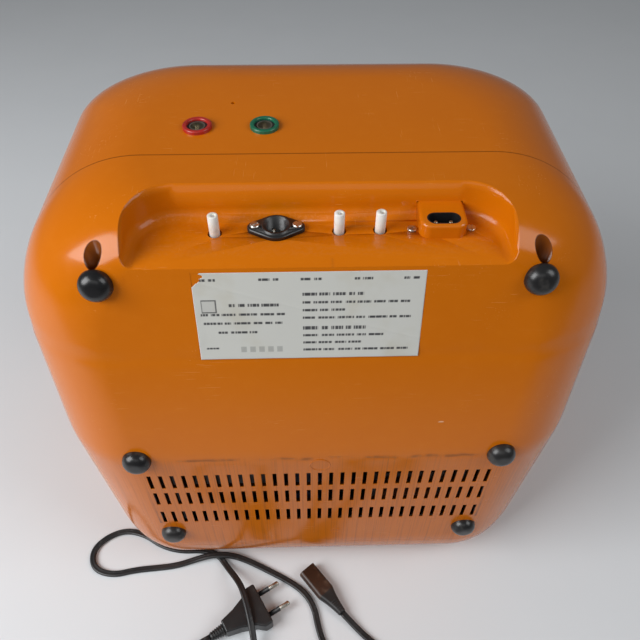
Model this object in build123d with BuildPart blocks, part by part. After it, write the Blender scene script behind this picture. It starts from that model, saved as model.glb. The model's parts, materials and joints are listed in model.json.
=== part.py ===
from build123d import *
import os
from math import cos, pi, radians, sin, sqrt, tan

# A portable television, lying on its screen: +Z runs from the screen to the back, +Y to the
# set's top and -Y to its feet. The front rim rests on Z = 0. Millimetres.

os.makedirs("parts", exist_ok=True)

# Driving dimensions of the cabinet
half_width = 171.0  # at the front, before the side walls open out
flare = 0.062  # how much a side wall moves out for each millimetre towards the back
height = 283.0
depth = 345.0
wall = 3.0
corner = 58.0  # radius of the four long corners
front_round = 26.0  # how far the front edge is rounded in
front_reach = 52.0  # and over how much of the depth
shoulder = 86.0  # how far the sides curve in at the back
top_round = 90.0  # radius of the back's upper edge, and the dome's height
lip_in = 20.0  # the label panel's rounding into the back
lip_reach = 23.0
foot_height = 7.0
bottom = -height / 2 + foot_height / 2
top = height / 2 + foot_height / 2
bend_at = 178.0  # where the vent panel turns into the sloping label panel
bend_reach = 8.0
panel_slope = 0.2185
seam_gap = 0.4
seam_back = -33.5  # the seam on the back
seam_slope = 0.262
tray_edge = 42.0  # the lower edge of the tray, above the front rim
seam_corner = 25.0
fit = 0.3  # play of loose fits
dome_start = depth - top_round


def ellipse_drop(size, share):
    """How far a quarter ellipse has fallen at a share of its length."""
    return size * (1 - sqrt(max(0.0, 1 - share * share)))


def panel_y(z):
    """The underside of the cabinet: the upright vent panel, a short bend, the sloping label panel."""
    past = z - (bend_at - bend_reach)
    if past <= 0:
        return bottom
    if past < 2 * bend_reach:
        return bottom + panel_slope * past * past / (4 * bend_reach)
    return bottom + panel_slope * (z - bend_at)


def cabinet_section(z, inset):
    """Half width, lowest y, highest y and corner radius of the cabinet at height z."""
    end = depth - inset
    front = ellipse_drop(front_round - inset, max(0.0, (front_reach - z) / (front_reach - inset)))
    dome = max(0.0, (z - dome_start) / (end - dome_start))
    lip = max(0.0, (z - depth + lip_reach) / (lip_reach - inset))
    half = half_width + flare * (z - front_reach) - inset - front
    half -= ellipse_drop(shoulder - inset, min(1.0, dome))
    low = panel_y(z) + inset + front + ellipse_drop(lip_in, min(1.0, lip))
    high = top - inset - front - ellipse_drop(top_round - inset, min(1.0, dome))
    return half, low, high, corner - inset - front


def cabinet_face(z, inset):
    """The cabinet's section at height z, as a sketch."""
    half, low, high, radius = cabinet_section(z, inset)
    with BuildSketch(Plane.XY.offset(z)) as face:
        with Locations((0, (low + high) / 2)):
            RectangleRounded(2 * half, high - low, radius)
    return face.sketch


def cabinet_solid(inset):
    """The whole cabinet taken in by inset, from its front rim to its back."""
    end = depth - inset
    front = [front_reach - (front_reach - inset) * cos(radians(a)) for a in (0, 12, 25, 40, 55, 72, 90)]
    bend = [bend_at + bend_reach * share for share in (-1, -0.5, 0, 0.5, 1)]
    dome_turns = (0, 12, 24, 36, 48, 58, 68, 77, 84, 90)
    dome = [dome_start + (end - dome_start) * sin(radians(a)) for a in dome_turns]
    with BuildPart() as solid:
        for heights in (front, [front_reach, bend[0]], bend, [bend[-1], dome_start], dome):
            loft(sections=[cabinet_face(z, inset) for z in heights], ruled=len(heights) == 2)
        if inset:
            add(cabinet_face(inset, inset))
            extrude(amount=-2 * inset)
    return solid.part



outer = cabinet_solid(0)
inner = cabinet_solid(wall)


def seam_y(z):
    """Where the seam between the cover and the tray runs on the side walls."""
    return seam_back - seam_slope * (depth - z)


def tray_block(move):
    """Everything on the tray's side of the seam, with the seam moved by move towards the cover."""
    beyond = 400.0
    with BuildPart() as block:
        with BuildSketch(Plane.YZ) as side:
            with BuildLine():
                Polyline(
                    (-beyond, tray_edge - move),
                    (seam_y(tray_edge) + move, tray_edge - move),
                    (seam_y(beyond) + move, beyond),
                    (-beyond, beyond),
                    close=True,
                )
            make_face()
            fillet(side.vertices().group_by(Axis.Y)[0].sort_by(Axis.X)[-1], seam_corner)
        extrude(amount=beyond, both=True)
    return block.part


# The recess for the controls and sockets: a ledge level with the screen, open towards the feet
ledge = 322.5
recess_half = 104.5
recess_back = -64.0
recess_corner = 25.0
recess_fillet = 7.0
recess_draft = 4.0
ledge_round = 10.5


def recess_block(grow):
    """The room cut out for the recess, or, grown by a wall, the bowl that lines it."""
    floor = ledge - grow
    far = -200.0
    sunk = 15.0
    front = panel_y(floor) + grow * sqrt(1 + panel_slope**2) - 0.05
    with BuildPart() as plan:
        with BuildSketch(Plane.XY.offset(floor - sunk)) as outline:
            with Locations((0, (far + recess_back + grow) / 2)):
                Rectangle(2 * (recess_half + grow), recess_back + grow - far)
            fillet(outline.vertices().group_by(Axis.Y)[-1], recess_corner + grow)
        extrude(amount=120, taper=-recess_draft)
    with BuildPart() as block:
        with BuildSketch(Plane.YZ) as side:
            with BuildLine():
                Polyline(
                    (30, floor),
                    (front, floor),
                    (front - sunk * panel_slope, floor - sunk),
                    (far, floor - sunk),
                    (far, floor + 60),
                    (30, floor + 60),
                    close=True,
                )
            make_face()
            tip = side.vertices().sort_by_distance((0, front, floor))[0]
            fillet(tip, ledge_round - grow)
        extrude(amount=recess_half + 40, both=True)
        add(plan.part, mode=Mode.INTERSECT)
        rim = block.edges().filter_by(lambda edge: edge.bounding_box().max.Z < floor + 0.01)
        sides = rim.filter_by(lambda edge: edge.bounding_box().min.Z > floor - 0.01)
        fillet(sides.filter_by(lambda edge: edge.center().Y > front + ledge_round), recess_fillet + grow)
    return block.part


recess = recess_block(0)
bowl = recess_block(wall)

# Feet, seated in shallow spot faces: two on the vent panel, two on the bend, two on the label panel
foot_radius = 9.5
foot_sunk = 0.8
foot_stem = 3.0
panel_tilt = 12.325  # degrees


def seat_plane(x, z, tilt):
    """A plane on the underside at (x, z), its normal tilted up from -Y."""
    outward = (0, -cos(radians(tilt)), sin(radians(tilt)))
    return Plane(origin=(x, panel_y(z), z), x_dir=(1, 0, 0), z_dir=outward)


foot_seats = {}
for side, sign in (("left", -1), ("right", 1)):
    foot_seats["front_foot_" + side] = seat_plane(sign * 114.5, 69.0, 0.0)
    foot_seats["middle_foot_" + side] = seat_plane(sign * 121.5, 178.5, panel_tilt / 2)
    foot_seats["rear_foot_" + side] = seat_plane(sign * 120.6, 313.5, panel_tilt)

# Deep wells for the two case screws
well_x = 120.8
well_y = -98.5
well_radius = 5.35
well_wall = 3.2
well_floor = 262.0
screw_head = 4.0
screw_shank = 2.0

# Vent slots
vent_rows = (149.3, 124.8, 95.4)
vent_pitch = 7.86
vent_count = 31
vent_wide = 2.8
vent_long = 18.0

# Rating label
label_wide = 127.3
label_long = 59.0
label_thick = 0.2
label_x = -6.0
label_z = 291.2
label_plane = Plane(
    origin=(label_x, panel_y(label_z), label_z),
    x_dir=(1, 0, 0),
    z_dir=(0, -cos(radians(panel_tilt)), sin(radians(panel_tilt))),
)

# Sockets and trim shafts that stand on the ledge
shaft_radius = 2.95
shaft_tops = 335.5
shaft_hole = 4.0
shafts = {
    "vertical_hold_shaft": (-58.4, -77.6),
    "vertical_size_shaft": (11.4, -76.8),
    "horizontal_hold_shaft": (34.6, -76.4),
}
pot_top = 311.0
pot_size = 16.0
pot_deep = 9.4
trim_x = -12.0
trim_half = 64.0
trim_post = 3.0
board_thick = 1.6
battery_x = -24.0
battery_y = -74.8
battery_lobe = 10.2
battery_reach = 12.0
battery_ear = 4.3
battery_thick = 2.8
battery_barrel = 8.2
battery_deep = 16.0
pin_radius = 1.2
inlet_x = 69.5
inlet_wide = 26.5
inlet_front = -84.5
inlet_back = -58.0
inlet_rise = 9.0
inlet_slot_y = -77.5
inlet_slot_wide = 8.4
inlet_slot_span = 9.2
inlet_pin_span = 8.6
inlet_deep = 14.0
small_head = 2.7
small_shank = 1.5
small_rise = 1.3
inlet_screw_x = 16.8
inlet_screw_y = -76.3
inlet_pin_spots = [(inlet_x - inlet_pin_span / 2, inlet_slot_y), (inlet_x + inlet_pin_span / 2, inlet_slot_y)]

# Aerial sockets on the back
aerials = {"red": (-72.4, -4.5), "green": (-31.4, -4.2)}
ring_outer = 9.0
ring_inner = 6.3
ring_rise = 2.4
aerial_deep = 18.0
sleeve_outer = 4.8
sleeve_wall = 0.6
pinhole = (-52.5, 24.2)
pinhole_radius = 1.4

# Carrying handle, folded flush into the top
handle_z = 98.0
handle_y = top - 6.5
handle_half = 84.0
handle_arm = 9.0
handle_thick = 10.0
handle_reach = 30.0
handle_bar = 12.0
handle_pin = 2.5
handle_play = 1.5
pin_play = 0.05
handle_floor = top - 14.0
handle_room_low = handle_z - handle_thick / 2 - 2 * handle_play
handle_room_high = handle_z + handle_reach + handle_play

# Screen, mask and controls at the front
mask_low = 9.0
mask_thick = 3.0
mask_top = mask_low + mask_thick
screen_x = 22.0
screen_y = 10.0
tube_wide = 250.0
tube_high = 192.0
tube_corner = 28.0
tube_skirt = 36.0
screen_wide = 226.0
screen_high = 172.0
screen_corner = 22.0
controls_x = -118.0
case_post = 7.0
catch_reach = 7.0  # the cover's catches over the mask's edge
catch_x = 155.0
catch_top = 129.0
catch_low = -126.0
lug_post = 6.0
lug_x = 75.0
lug_out = 9.0
knobs = {
    "tuning_knob": (88.0, 14.0),
    "brightness_knob": (60.0, 8.0),
    "contrast_knob": (39.0, 8.0),
    "volume_knob": (18.0, 8.0),
}
knob_low = 1.6
knob_gap = 0.6
spindle_radius = 3.0
spindle_play = 0.06
spindle_long = 12.0
button_wide = 8.4
button_high = 8.0
button_pitch = 11.0
button_y = -3.0
button_low = 3.0
button_travel = 3.5
buttons = {"mains_button": -1, "low_band_button": 0, "high_band_button": 1}
speaker_y = -56.0
speaker_wide = 28.0
speaker_long = 66.0
grille_slots = 9
grille_pitch = 6.0
grille_wide = 22.0
grille_open = 2.6

# Boards inside
board_y = 111.0
board_wide = 204.0
board_low = 58.0
board_high = 196.0
pillar = 4.0
pillar_in = 8.0
chassis_y = well_y + case_post
chassis_half = 122.0
chassis_low = 60.0
chassis_high = 236.0
chassis_thick = 1.5

well_spots = [(-well_x, well_y), (well_x, well_y)]
trim_y = sum(y for x, y in shafts.values()) / len(shafts)
trim_posts = [(trim_x - trim_half + 2 * trim_post, trim_y), (trim_x + trim_half - 2 * trim_post, trim_y)]
handle_room_x = handle_half + handle_play
board_spots = [
    (side * (board_wide / 2 - pillar_in), z)
    for side in (-1, 1)
    for z in (board_low + pillar_in, board_high - pillar_in)
]
lug_spots = [
    (screen_x + side * lug_x, screen_y + end * (tube_high / 2 + lug_out))
    for side in (-1, 1)
    for end in (-1, 1)
]
side_catches = [(-catch_x, 30), (catch_x, 30)]
end_catches = [(side * 60, y) for y in (catch_top, catch_low) for side in (-1, 1)]
catches = side_catches + end_catches
knob_spots = [(controls_x, y) for y, radius in knobs.values()]


def inlet_plan():
    """The plan of the mains inlet block, a rectangle with its outer corners rounded."""
    with BuildSketch(Plane.XY.offset(ledge)) as plan:
        with Locations((inlet_x, (inlet_front + inlet_back) / 2)):
            Rectangle(inlet_wide, inlet_back - inlet_front)
        fillet(plan.vertices().group_by(Axis.Y)[0], 6.0)
    return plan.sketch


def inlet_slot(z):
    """The mains inlet's mouth, a slot with round ends."""
    with BuildSketch(Plane.XY.offset(z)) as slot:
        with Locations((inlet_x, inlet_slot_y)):
            SlotCenterToCenter(inlet_slot_span, inlet_slot_wide)
    return slot.sketch


def socket_flange(grow):
    """The battery socket's outline on the ledge."""
    with BuildSketch(Plane.XY.offset(ledge)) as flange:
        with Locations((battery_x, battery_y)):
            Circle(battery_lobe + grow)
            with Locations((-battery_reach, 0), (battery_reach, 0)):
                Circle(battery_ear + grow)
        make_hull()
    return flange.sketch


with BuildPart() as room:
    add(inner)
    add(bowl, mode=Mode.SUBTRACT)
    with BuildSketch(Plane.XY.offset(well_floor - well_wall)):
        with Locations(well_spots):
            Circle(well_radius + well_wall)
    extrude(amount=120, mode=Mode.SUBTRACT)

with BuildPart() as base_tray:
    add(outer)
    add(tray_block(-seam_gap / 2), mode=Mode.INTERSECT)
    add(room.part, mode=Mode.SUBTRACT)
    add(recess, mode=Mode.SUBTRACT)
    with BuildSketch(Plane.XZ.offset(-bottom)):
        for row in vent_rows:
            with Locations((0, row)):
                with GridLocations(vent_pitch, 0, vent_count, 1):
                    Rectangle(vent_wide, vent_long)
    extrude(amount=2 * wall, both=True, mode=Mode.SUBTRACT)
    with BuildSketch(Plane.XY.offset(well_floor)):
        with Locations(well_spots):
            Circle(well_radius)
    extrude(amount=120, mode=Mode.SUBTRACT)
    with BuildSketch(Plane.XY.offset(well_floor - 2 * well_wall)):
        with Locations(well_spots):
            Circle(screw_shank)
    extrude(amount=4 * well_wall, mode=Mode.SUBTRACT)
    for seat in foot_seats.values():
        with BuildSketch(seat.offset(-foot_sunk)):
            Circle(foot_radius)
        extrude(amount=3 * foot_sunk, mode=Mode.SUBTRACT)
        with BuildSketch(seat.offset(-4 * wall)):
            Circle(foot_stem)
        extrude(amount=5 * wall, mode=Mode.SUBTRACT)
    with BuildSketch(label_plane.offset(-label_thick / 2)):
        Rectangle(label_wide, label_long)
    extrude(amount=wall, mode=Mode.SUBTRACT)
    with BuildSketch(Plane.XY.offset(ledge)):
        with Locations(*shafts.values()):
            Circle(shaft_hole)
        with Locations((battery_x, battery_y)):
            Circle(battery_barrel)
            with Locations((-battery_reach, 0), (battery_reach, 0)):
                Circle(small_shank)
        with Locations((inlet_x - inlet_screw_x, inlet_screw_y), (inlet_x + inlet_screw_x, inlet_screw_y)):
            Circle(small_shank)
    extrude(amount=-2 * wall, mode=Mode.SUBTRACT)
    add(inlet_plan())
    extrude(amount=inlet_rise, mode=Mode.SUBTRACT)
    add(socket_flange(fit))
    extrude(amount=recess_fillet, mode=Mode.SUBTRACT)
    add(inlet_slot(ledge))
    extrude(amount=-2 * wall, mode=Mode.SUBTRACT)
    with BuildSketch(Plane.XY.offset(ledge - wall)):
        with Locations(*trim_posts):
            Circle(trim_post)
    extrude(amount=pot_top - pot_deep - ledge + wall)
base_tray.part.label = "base_tray"
export_step(base_tray.part, "parts/base_tray.step")

with BuildPart() as cover_room:
    add(inner)
    with BuildSketch(Plane.XZ.offset(-top - wall)):
        with Locations((0, (handle_room_low + handle_room_high) / 2)):
            Rectangle(2 * (handle_room_x + wall), handle_room_high - handle_room_low + 2 * wall)
    extrude(amount=top - handle_floor + 2 * wall, mode=Mode.SUBTRACT)
    with BuildSketch(Plane.XZ.offset(-top - wall)):
        with Locations(*board_spots):
            Circle(pillar)
    extrude(amount=top + wall - board_y - board_thick, mode=Mode.SUBTRACT)
    with BuildSketch(Plane.XY.offset(mask_top)):
        with Locations(*catches):
            Rectangle(2 * catch_reach, 2 * catch_reach)
    extrude(amount=catch_reach, mode=Mode.SUBTRACT)

with BuildPart() as cabinet_cover:
    add(outer)
    add(cover_room.part, mode=Mode.SUBTRACT)
    add(tray_block(seam_gap / 2), mode=Mode.SUBTRACT)
    with BuildSketch(Plane.XZ.offset(-handle_floor)) as handle_room:
        with Locations((0, (handle_room_low + handle_room_high) / 2)):
            RectangleRounded(2 * handle_room_x, handle_room_high - handle_room_low, 4)
    extrude(amount=-50, mode=Mode.SUBTRACT)
    with BuildSketch(Plane.YZ.offset(-handle_room_x - wall)):
        with Locations((handle_y, handle_z)):
            Circle(handle_pin)
    extrude(amount=2 * (handle_room_x + wall), mode=Mode.SUBTRACT)
    with BuildSketch(Plane.XZ.offset(-board_y - board_thick)):
        with Locations(*board_spots):
            Circle(small_shank)
    extrude(amount=-8, mode=Mode.SUBTRACT)
    with BuildSketch(Plane.XY.offset(depth + wall)):
        with Locations(*aerials.values()):
            Circle(ring_inner)
        with Locations(pinhole):
            Circle(pinhole_radius)
    extrude(amount=-3 * wall, mode=Mode.SUBTRACT)
cabinet_cover.part.label = "cabinet_cover"
export_step(cabinet_cover.part, "parts/cabinet_cover.step")

for pair in ("front", "middle", "rear"):
    with BuildPart() as feet:
        for seat in (foot_seats[pair + "_foot_left"], foot_seats[pair + "_foot_right"]):
            with BuildSketch(seat.offset(-foot_sunk)):
                Circle(foot_radius)
            extrude(amount=foot_sunk + foot_height)
        treads = feet.faces().sort_by(Axis(seat.origin, seat.z_dir))[-2:]
        fillet([edge for tread in treads for edge in tread.edges()], foot_height - 0.2)
        for seat in (foot_seats[pair + "_foot_left"], foot_seats[pair + "_foot_right"]):
            with BuildSketch(seat.offset(-2 * wall)):
                Circle(foot_stem)
            extrude(amount=2 * wall - foot_sunk)
    feet.part.label = pair + "_feet"
    export_step(feet.part, f"parts/{pair}_feet.step")

with BuildPart() as case_screws:
    with BuildSketch(Plane.XY.offset(well_floor)):
        with Locations(well_spots):
            Circle(screw_head)
    extrude(amount=3)
    with BuildSketch(Plane.XY.offset(well_floor + 3)):
        with Locations(well_spots):
            Rectangle(2 * screw_head, 1.2)
    extrude(amount=-1.2, mode=Mode.SUBTRACT)
    with BuildSketch(Plane.XY.offset(well_floor)):
        with Locations(well_spots):
            Circle(screw_shank)
    extrude(amount=-28)
case_screws.part.label = "case_screws"
export_step(case_screws.part, "parts/case_screws.step")

with BuildPart() as rating_label:
    with BuildSketch(label_plane.offset(-label_thick / 2)):
        Rectangle(label_wide, label_long)
    extrude(amount=label_thick)
rating_label.part.label = "rating_label"
export_step(rating_label.part, "parts/rating_label.step")

# Trim controls behind the recess
with BuildPart() as trim_board:
    with BuildSketch(Plane.XY.offset(pot_top - pot_deep - board_thick)):
        with Locations((trim_x, trim_y)):
            Rectangle(2 * trim_half, 30)
    extrude(amount=board_thick)
trim_board.part.label = "trim_board"
export_step(trim_board.part, "parts/trim_board.step")

with BuildPart() as trim_pots:
    with BuildSketch(Plane.XY.offset(pot_top - pot_deep)):
        with Locations(*shafts.values()):
            RectangleRounded(pot_size, pot_size, 2)
    extrude(amount=pot_deep - fit)
    with BuildSketch(Plane.XY.offset(pot_top)):
        with Locations(*shafts.values()):
            Circle(shaft_radius / 2 + pin_play)
    extrude(amount=-6, mode=Mode.SUBTRACT)
trim_pots.part.label = "trim_pots"
export_step(trim_pots.part, "parts/trim_pots.step")

for name, spot in shafts.items():
    with BuildPart() as shaft:
        with BuildSketch(Plane.XY.offset(pot_top)):
            with Locations(spot):
                Circle(shaft_radius)
        extrude(amount=shaft_tops - pot_top)
        chamfer(shaft.faces().sort_by(Axis.Z)[-1].edges(), 0.4)
        with BuildSketch(Plane.XY.offset(shaft_tops)):
            with Locations((spot[0] + 0.7, spot[1] - 0.3)):
                Circle(1.0)
        extrude(amount=-3, mode=Mode.SUBTRACT)
        with BuildSketch(Plane.XY.offset(pot_top)):
            with Locations(spot):
                Circle(shaft_radius / 2)
        extrude(amount=-5)
    shaft.part.label = name
    export_step(shaft.part, f"parts/{name}.step")

# Battery socket, a moulded flange with a barrel behind the ledge
with BuildPart() as battery_socket:
    add(socket_flange(0))
    extrude(amount=battery_thick)
    chamfer(battery_socket.faces().sort_by(Axis.Z)[-1].edges(), 0.6)
    with BuildSketch(Plane.XY.offset(ledge)):
        with Locations((battery_x, battery_y)):
            Circle(battery_barrel)
    extrude(amount=-battery_deep)
    with BuildSketch(Plane.XY.offset(ledge)):
        with Locations((battery_x, battery_y)):
            Circle(battery_barrel)
            Circle(battery_barrel - 1.0, mode=Mode.SUBTRACT)
    extrude(amount=battery_thick + 0.9)
    with BuildSketch(Plane.XY.offset(ledge + 5)):
        with Locations((battery_x, battery_y)):
            Circle(battery_barrel - 2.2)
    extrude(amount=-14, mode=Mode.SUBTRACT)
    with BuildSketch(Plane.XY.offset(ledge + battery_thick)):
        with Locations((battery_x - battery_reach, battery_y), (battery_x + battery_reach, battery_y)):
            Circle(small_shank)
    extrude(amount=-battery_thick, mode=Mode.SUBTRACT)
    with BuildSketch(Plane.XY.offset(ledge - 9)):
        with Locations((battery_x, battery_y)):
            with PolarLocations(3.2, 3):
                Circle(pin_radius)
    extrude(amount=-battery_deep, mode=Mode.SUBTRACT)
battery_socket.part.label = "battery_socket"
export_step(battery_socket.part, "parts/battery_socket.step")

with BuildPart() as battery_pins:
    with BuildSketch(Plane.XY.offset(ledge - battery_deep - 3)):
        with Locations((battery_x, battery_y)):
            with PolarLocations(3.2, 3):
                Circle(pin_radius)
    extrude(amount=battery_deep + 1)
battery_pins.part.label = "battery_pins"
export_step(battery_pins.part, "parts/battery_pins.step")

# Mains inlet: an orange surround on the ledge, a black insert under it and two pins
with BuildPart() as inlet_surround:
    add(inlet_plan())
    extrude(amount=inlet_rise)
    fillet(inlet_surround.faces().sort_by(Axis.Z)[-1].edges(), 2.0)
    add(inlet_slot(ledge))
    extrude(amount=inlet_rise, mode=Mode.SUBTRACT)
inlet_surround.part.label = "inlet_surround"
export_step(inlet_surround.part, "parts/inlet_surround.step")

with BuildPart() as inlet_insert:
    with BuildSketch(Plane.XY.offset(ledge - wall)):
        with Locations((inlet_x, inlet_slot_y)):
            Rectangle(2 * inlet_screw_x + 8, 13)
    extrude(amount=-3)
    with BuildSketch(Plane.XY.offset(ledge - wall)):
        with Locations((inlet_x, inlet_slot_y)):
            Rectangle(inlet_wide - 4, 13)
    extrude(amount=-inlet_deep)
    with BuildSketch(Plane.XY.offset(ledge - wall)):
        with Locations(*inlet_pin_spots):
            Circle(pin_radius)
        with Locations((inlet_x - inlet_screw_x, inlet_screw_y), (inlet_x + inlet_screw_x, inlet_screw_y)):
            Circle(small_shank)
    extrude(amount=-inlet_deep, mode=Mode.SUBTRACT)
inlet_insert.part.label = "inlet_insert"
export_step(inlet_insert.part, "parts/inlet_insert.step")

with BuildPart() as inlet_pins:
    with BuildSketch(Plane.XY.offset(ledge - wall - inlet_deep - 4)):
        with Locations(*inlet_pin_spots):
            Circle(pin_radius)
    extrude(amount=inlet_deep + 4 + wall + inlet_rise - 2.5)
    fillet(inlet_pins.faces().group_by(Axis.Z)[-1].edges(), 0.6)
inlet_pins.part.label = "inlet_pins"
export_step(inlet_pins.part, "parts/inlet_pins.step")


def small_screws(name, spots, z):
    """Slotted pan-head screws of one size, as one node of separate solids."""
    with BuildPart() as screws:
        with BuildSketch(Plane.XY.offset(z)):
            with Locations(spots):
                Circle(small_head)
        extrude(amount=small_rise)
        chamfer(screws.faces().group_by(Axis.Z)[-1].edges(), 0.4)
        with BuildSketch(Plane.XY.offset(z + small_rise)):
            for turn, spot in enumerate(spots):
                with Locations(Location((spot[0], spot[1]), 35 + 50 * turn)):
                    Rectangle(3 * small_head, 0.8)
        extrude(amount=-0.7, mode=Mode.SUBTRACT)
        with BuildSketch(Plane.XY.offset(z)):
            with Locations(spots):
                Circle(small_shank)
        extrude(amount=-7)
    screws.part.label = name
    export_step(screws.part, f"parts/{name}.step")


small_screws(
    "battery_socket_screws",
    [(battery_x - battery_reach, battery_y), (battery_x + battery_reach, battery_y)],
    ledge + battery_thick,
)
small_screws(
    "inlet_screws",
    [(inlet_x - inlet_screw_x, inlet_screw_y), (inlet_x + inlet_screw_x, inlet_screw_y)],
    ledge,
)

# Aerial sockets
for name, spot in aerials.items():
    with BuildPart() as ring:
        with BuildSketch(Plane.XY.offset(depth)):
            with Locations(spot):
                Circle(ring_outer)
                Circle(ring_inner, mode=Mode.SUBTRACT)
        extrude(amount=ring_rise)
        fillet(ring.faces().sort_by(Axis.Z)[-1].edges(), 0.9)
    ring.part.label = f"aerial_ring_{name}"
    export_step(ring.part, f"parts/aerial_ring_{name}.step")

with BuildPart() as aerial_bodies:
    with BuildSketch(Plane.XY.offset(depth + 0.8)):
        with Locations(*aerials.values()):
            Circle(ring_inner)
    extrude(amount=-aerial_deep)
    with BuildSketch(Plane.XY.offset(depth + 0.8)):
        with Locations(*aerials.values()):
            Circle(sleeve_outer)
    extrude(amount=-12, mode=Mode.SUBTRACT)
    with BuildSketch(Plane.XY.offset(depth)):
        with Locations(*aerials.values()):
            Circle(pin_radius)
    extrude(amount=-2 * aerial_deep, mode=Mode.SUBTRACT)
aerial_bodies.part.label = "aerial_bodies"
export_step(aerial_bodies.part, "parts/aerial_bodies.step")

with BuildPart() as aerial_contacts:
    with BuildSketch(Plane.XY.offset(depth + 0.8 - 12)):
        with Locations(*aerials.values()):
            Circle(sleeve_outer)
            Circle(sleeve_outer - sleeve_wall, mode=Mode.SUBTRACT)
    extrude(amount=12.4)
    with BuildSketch(Plane.XY.offset(depth - aerial_deep - 3)):
        with Locations(*aerials.values()):
            Circle(pin_radius)
    extrude(amount=aerial_deep - 1)
aerial_contacts.part.label = "aerial_contacts"
export_step(aerial_contacts.part, "parts/aerial_contacts.step")

# Carrying handle and its pins
with BuildPart() as handle:
    with BuildSketch(Plane.XZ.offset(-handle_y - handle_thick / 2)):
        with Locations((0, handle_z + (handle_reach - handle_thick / 2) / 2)):
            Rectangle(2 * handle_half, handle_reach + handle_thick / 2)
        with Locations((0, handle_z + (handle_reach - handle_bar - handle_thick) / 2)):
            Rectangle(
                2 * (handle_half - handle_arm),
                handle_reach - handle_bar + handle_thick,
                mode=Mode.SUBTRACT,
            )
    extrude(amount=handle_thick)
    fillet(handle.edges().filter_by(Axis.X).group_by(Axis.Z)[0], handle_thick / 2 - 0.1)
    fillet(handle.edges().filter_by(Axis.X).group_by(Axis.Z)[-1], 3.0)
    with BuildSketch(Plane.YZ.offset(-handle_half)):
        with Locations((handle_y, handle_z)):
            Circle(handle_pin + pin_play)
    extrude(amount=2 * handle_half, mode=Mode.SUBTRACT)
handle.part.label = "handle"
export_step(handle.part, "parts/handle.step")

with BuildPart() as handle_pins:
    for sign in (-1, 1):
        with BuildSketch(Plane.YZ.offset(sign * (handle_room_x + wall))):
            with Locations((handle_y, handle_z)):
                Circle(handle_pin)
        extrude(amount=-sign * (handle_arm + handle_play + wall))
handle_pins.part.label = "handle_pins"
export_step(handle_pins.part, "parts/handle_pins.step")

# The mask behind the front rim, with the posts that carry the tube and take the case screws
band_low = 30.5
band_high = 4.5
band_thick = 1.2
with BuildPart() as front_mask:
    add(cabinet_face(mask_low, wall + fit))
    extrude(amount=mask_thick)
    with BuildSketch(Plane.XY.offset(mask_top)):
        with Locations(*well_spots):
            Circle(case_post)
    extrude(amount=well_floor - well_wall - mask_top)
    with BuildSketch(Plane.XY.offset(mask_top)):
        with Locations(*lug_spots):
            Circle(lug_post)
    extrude(amount=band_low - mask_top)
    with BuildSketch(Plane.XY.offset(well_floor)):
        with Locations(*well_spots):
            Circle(screw_shank)
    extrude(amount=-34, mode=Mode.SUBTRACT)
    with BuildSketch(Plane.XY.offset(band_low)):
        with Locations(*lug_spots):
            Circle(small_shank)
    extrude(amount=-10, mode=Mode.SUBTRACT)
    with BuildSketch(Plane.XY.offset(mask_low)):
        with Locations((screen_x, screen_y)):
            RectangleRounded(screen_wide, screen_high, screen_corner)
        with Locations(*knob_spots):
            Circle(spindle_radius + 0.5)
        with Locations((controls_x, button_y)):
            with GridLocations(button_pitch, 0, len(buttons), 1):
                Rectangle(button_wide + 2 * fit, button_high + 2 * fit)
        with Locations((controls_x, speaker_y)):
            with GridLocations(0, grille_pitch, 1, grille_slots):
                SlotOverall(grille_wide, grille_open)
    extrude(amount=mask_thick, mode=Mode.SUBTRACT)
front_mask.part.label = "front_mask"
export_step(front_mask.part, "parts/front_mask.step")

for name, (y, radius) in knobs.items():
    with BuildPart() as knob:
        with BuildSketch(Plane.XY.offset(knob_low)):
            with Locations((controls_x, y)):
                Circle(radius)
                with PolarLocations(radius + 0.3, 24):
                    Circle(0.7, mode=Mode.SUBTRACT)
        extrude(amount=mask_low - knob_gap - knob_low)
        with BuildSketch(Plane.XY.offset(knob_low)):
            with Locations((controls_x, y + radius / 2)):
                Rectangle(1.0, radius * 0.7)
        extrude(amount=0.5, mode=Mode.SUBTRACT)
        with BuildSketch(Plane.XY.offset(mask_low - knob_gap)):
            with Locations((controls_x, y)):
                Circle(spindle_radius)
        extrude(amount=spindle_long)
    knob.part.label = name
    export_step(knob.part, f"parts/{name}.step")

with BuildPart() as control_pots:
    with BuildSketch(Plane.XY.offset(mask_top)):
        with Locations(*knob_spots):
            RectangleRounded(pot_size, pot_size, 2)
    extrude(amount=pot_deep + 2)
    with BuildSketch(Plane.XY.offset(mask_top)):
        with Locations(*knob_spots):
            Circle(spindle_radius + spindle_play)
    extrude(amount=spindle_long, mode=Mode.SUBTRACT)
control_pots.part.label = "control_pots"
export_step(control_pots.part, "parts/control_pots.step")

switch_low = 22.5
for name, place in buttons.items():
    with BuildPart() as button:
        with BuildSketch(Plane.XY.offset(button_low)):
            with Locations((controls_x + place * button_pitch, button_y)):
                RectangleRounded(button_wide, button_high, 0.8)
        extrude(amount=switch_low - 1 - button_travel - button_low)
        fillet(button.faces().sort_by(Axis.Z)[0].edges(), 0.7)
        with BuildSketch(Plane.XY.offset(mask_top + fit)):
            with Locations((controls_x + place * button_pitch, button_y)):
                Rectangle(button_pitch - 1.0, button_high + 2.5)
        extrude(amount=1.5)
    button.part.label = name
    export_step(button.part, f"parts/{name}.step")

with BuildPart() as switch_block:
    with BuildSketch(Plane.XY.offset(switch_low)):
        with Locations((controls_x - 2.5, button_y)):
            Rectangle(31, 14)
    extrude(amount=12)
    with BuildSketch(Plane.XY.offset(mask_top)):
        with Locations((controls_x - 2.5, button_y - 8.5), (controls_x - 2.5, button_y + 8.5)):
            Rectangle(20, 3)
    extrude(amount=switch_low + 12 - mask_top)
switch_block.part.label = "switch_block"
export_step(switch_block.part, "parts/switch_block.step")

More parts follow.
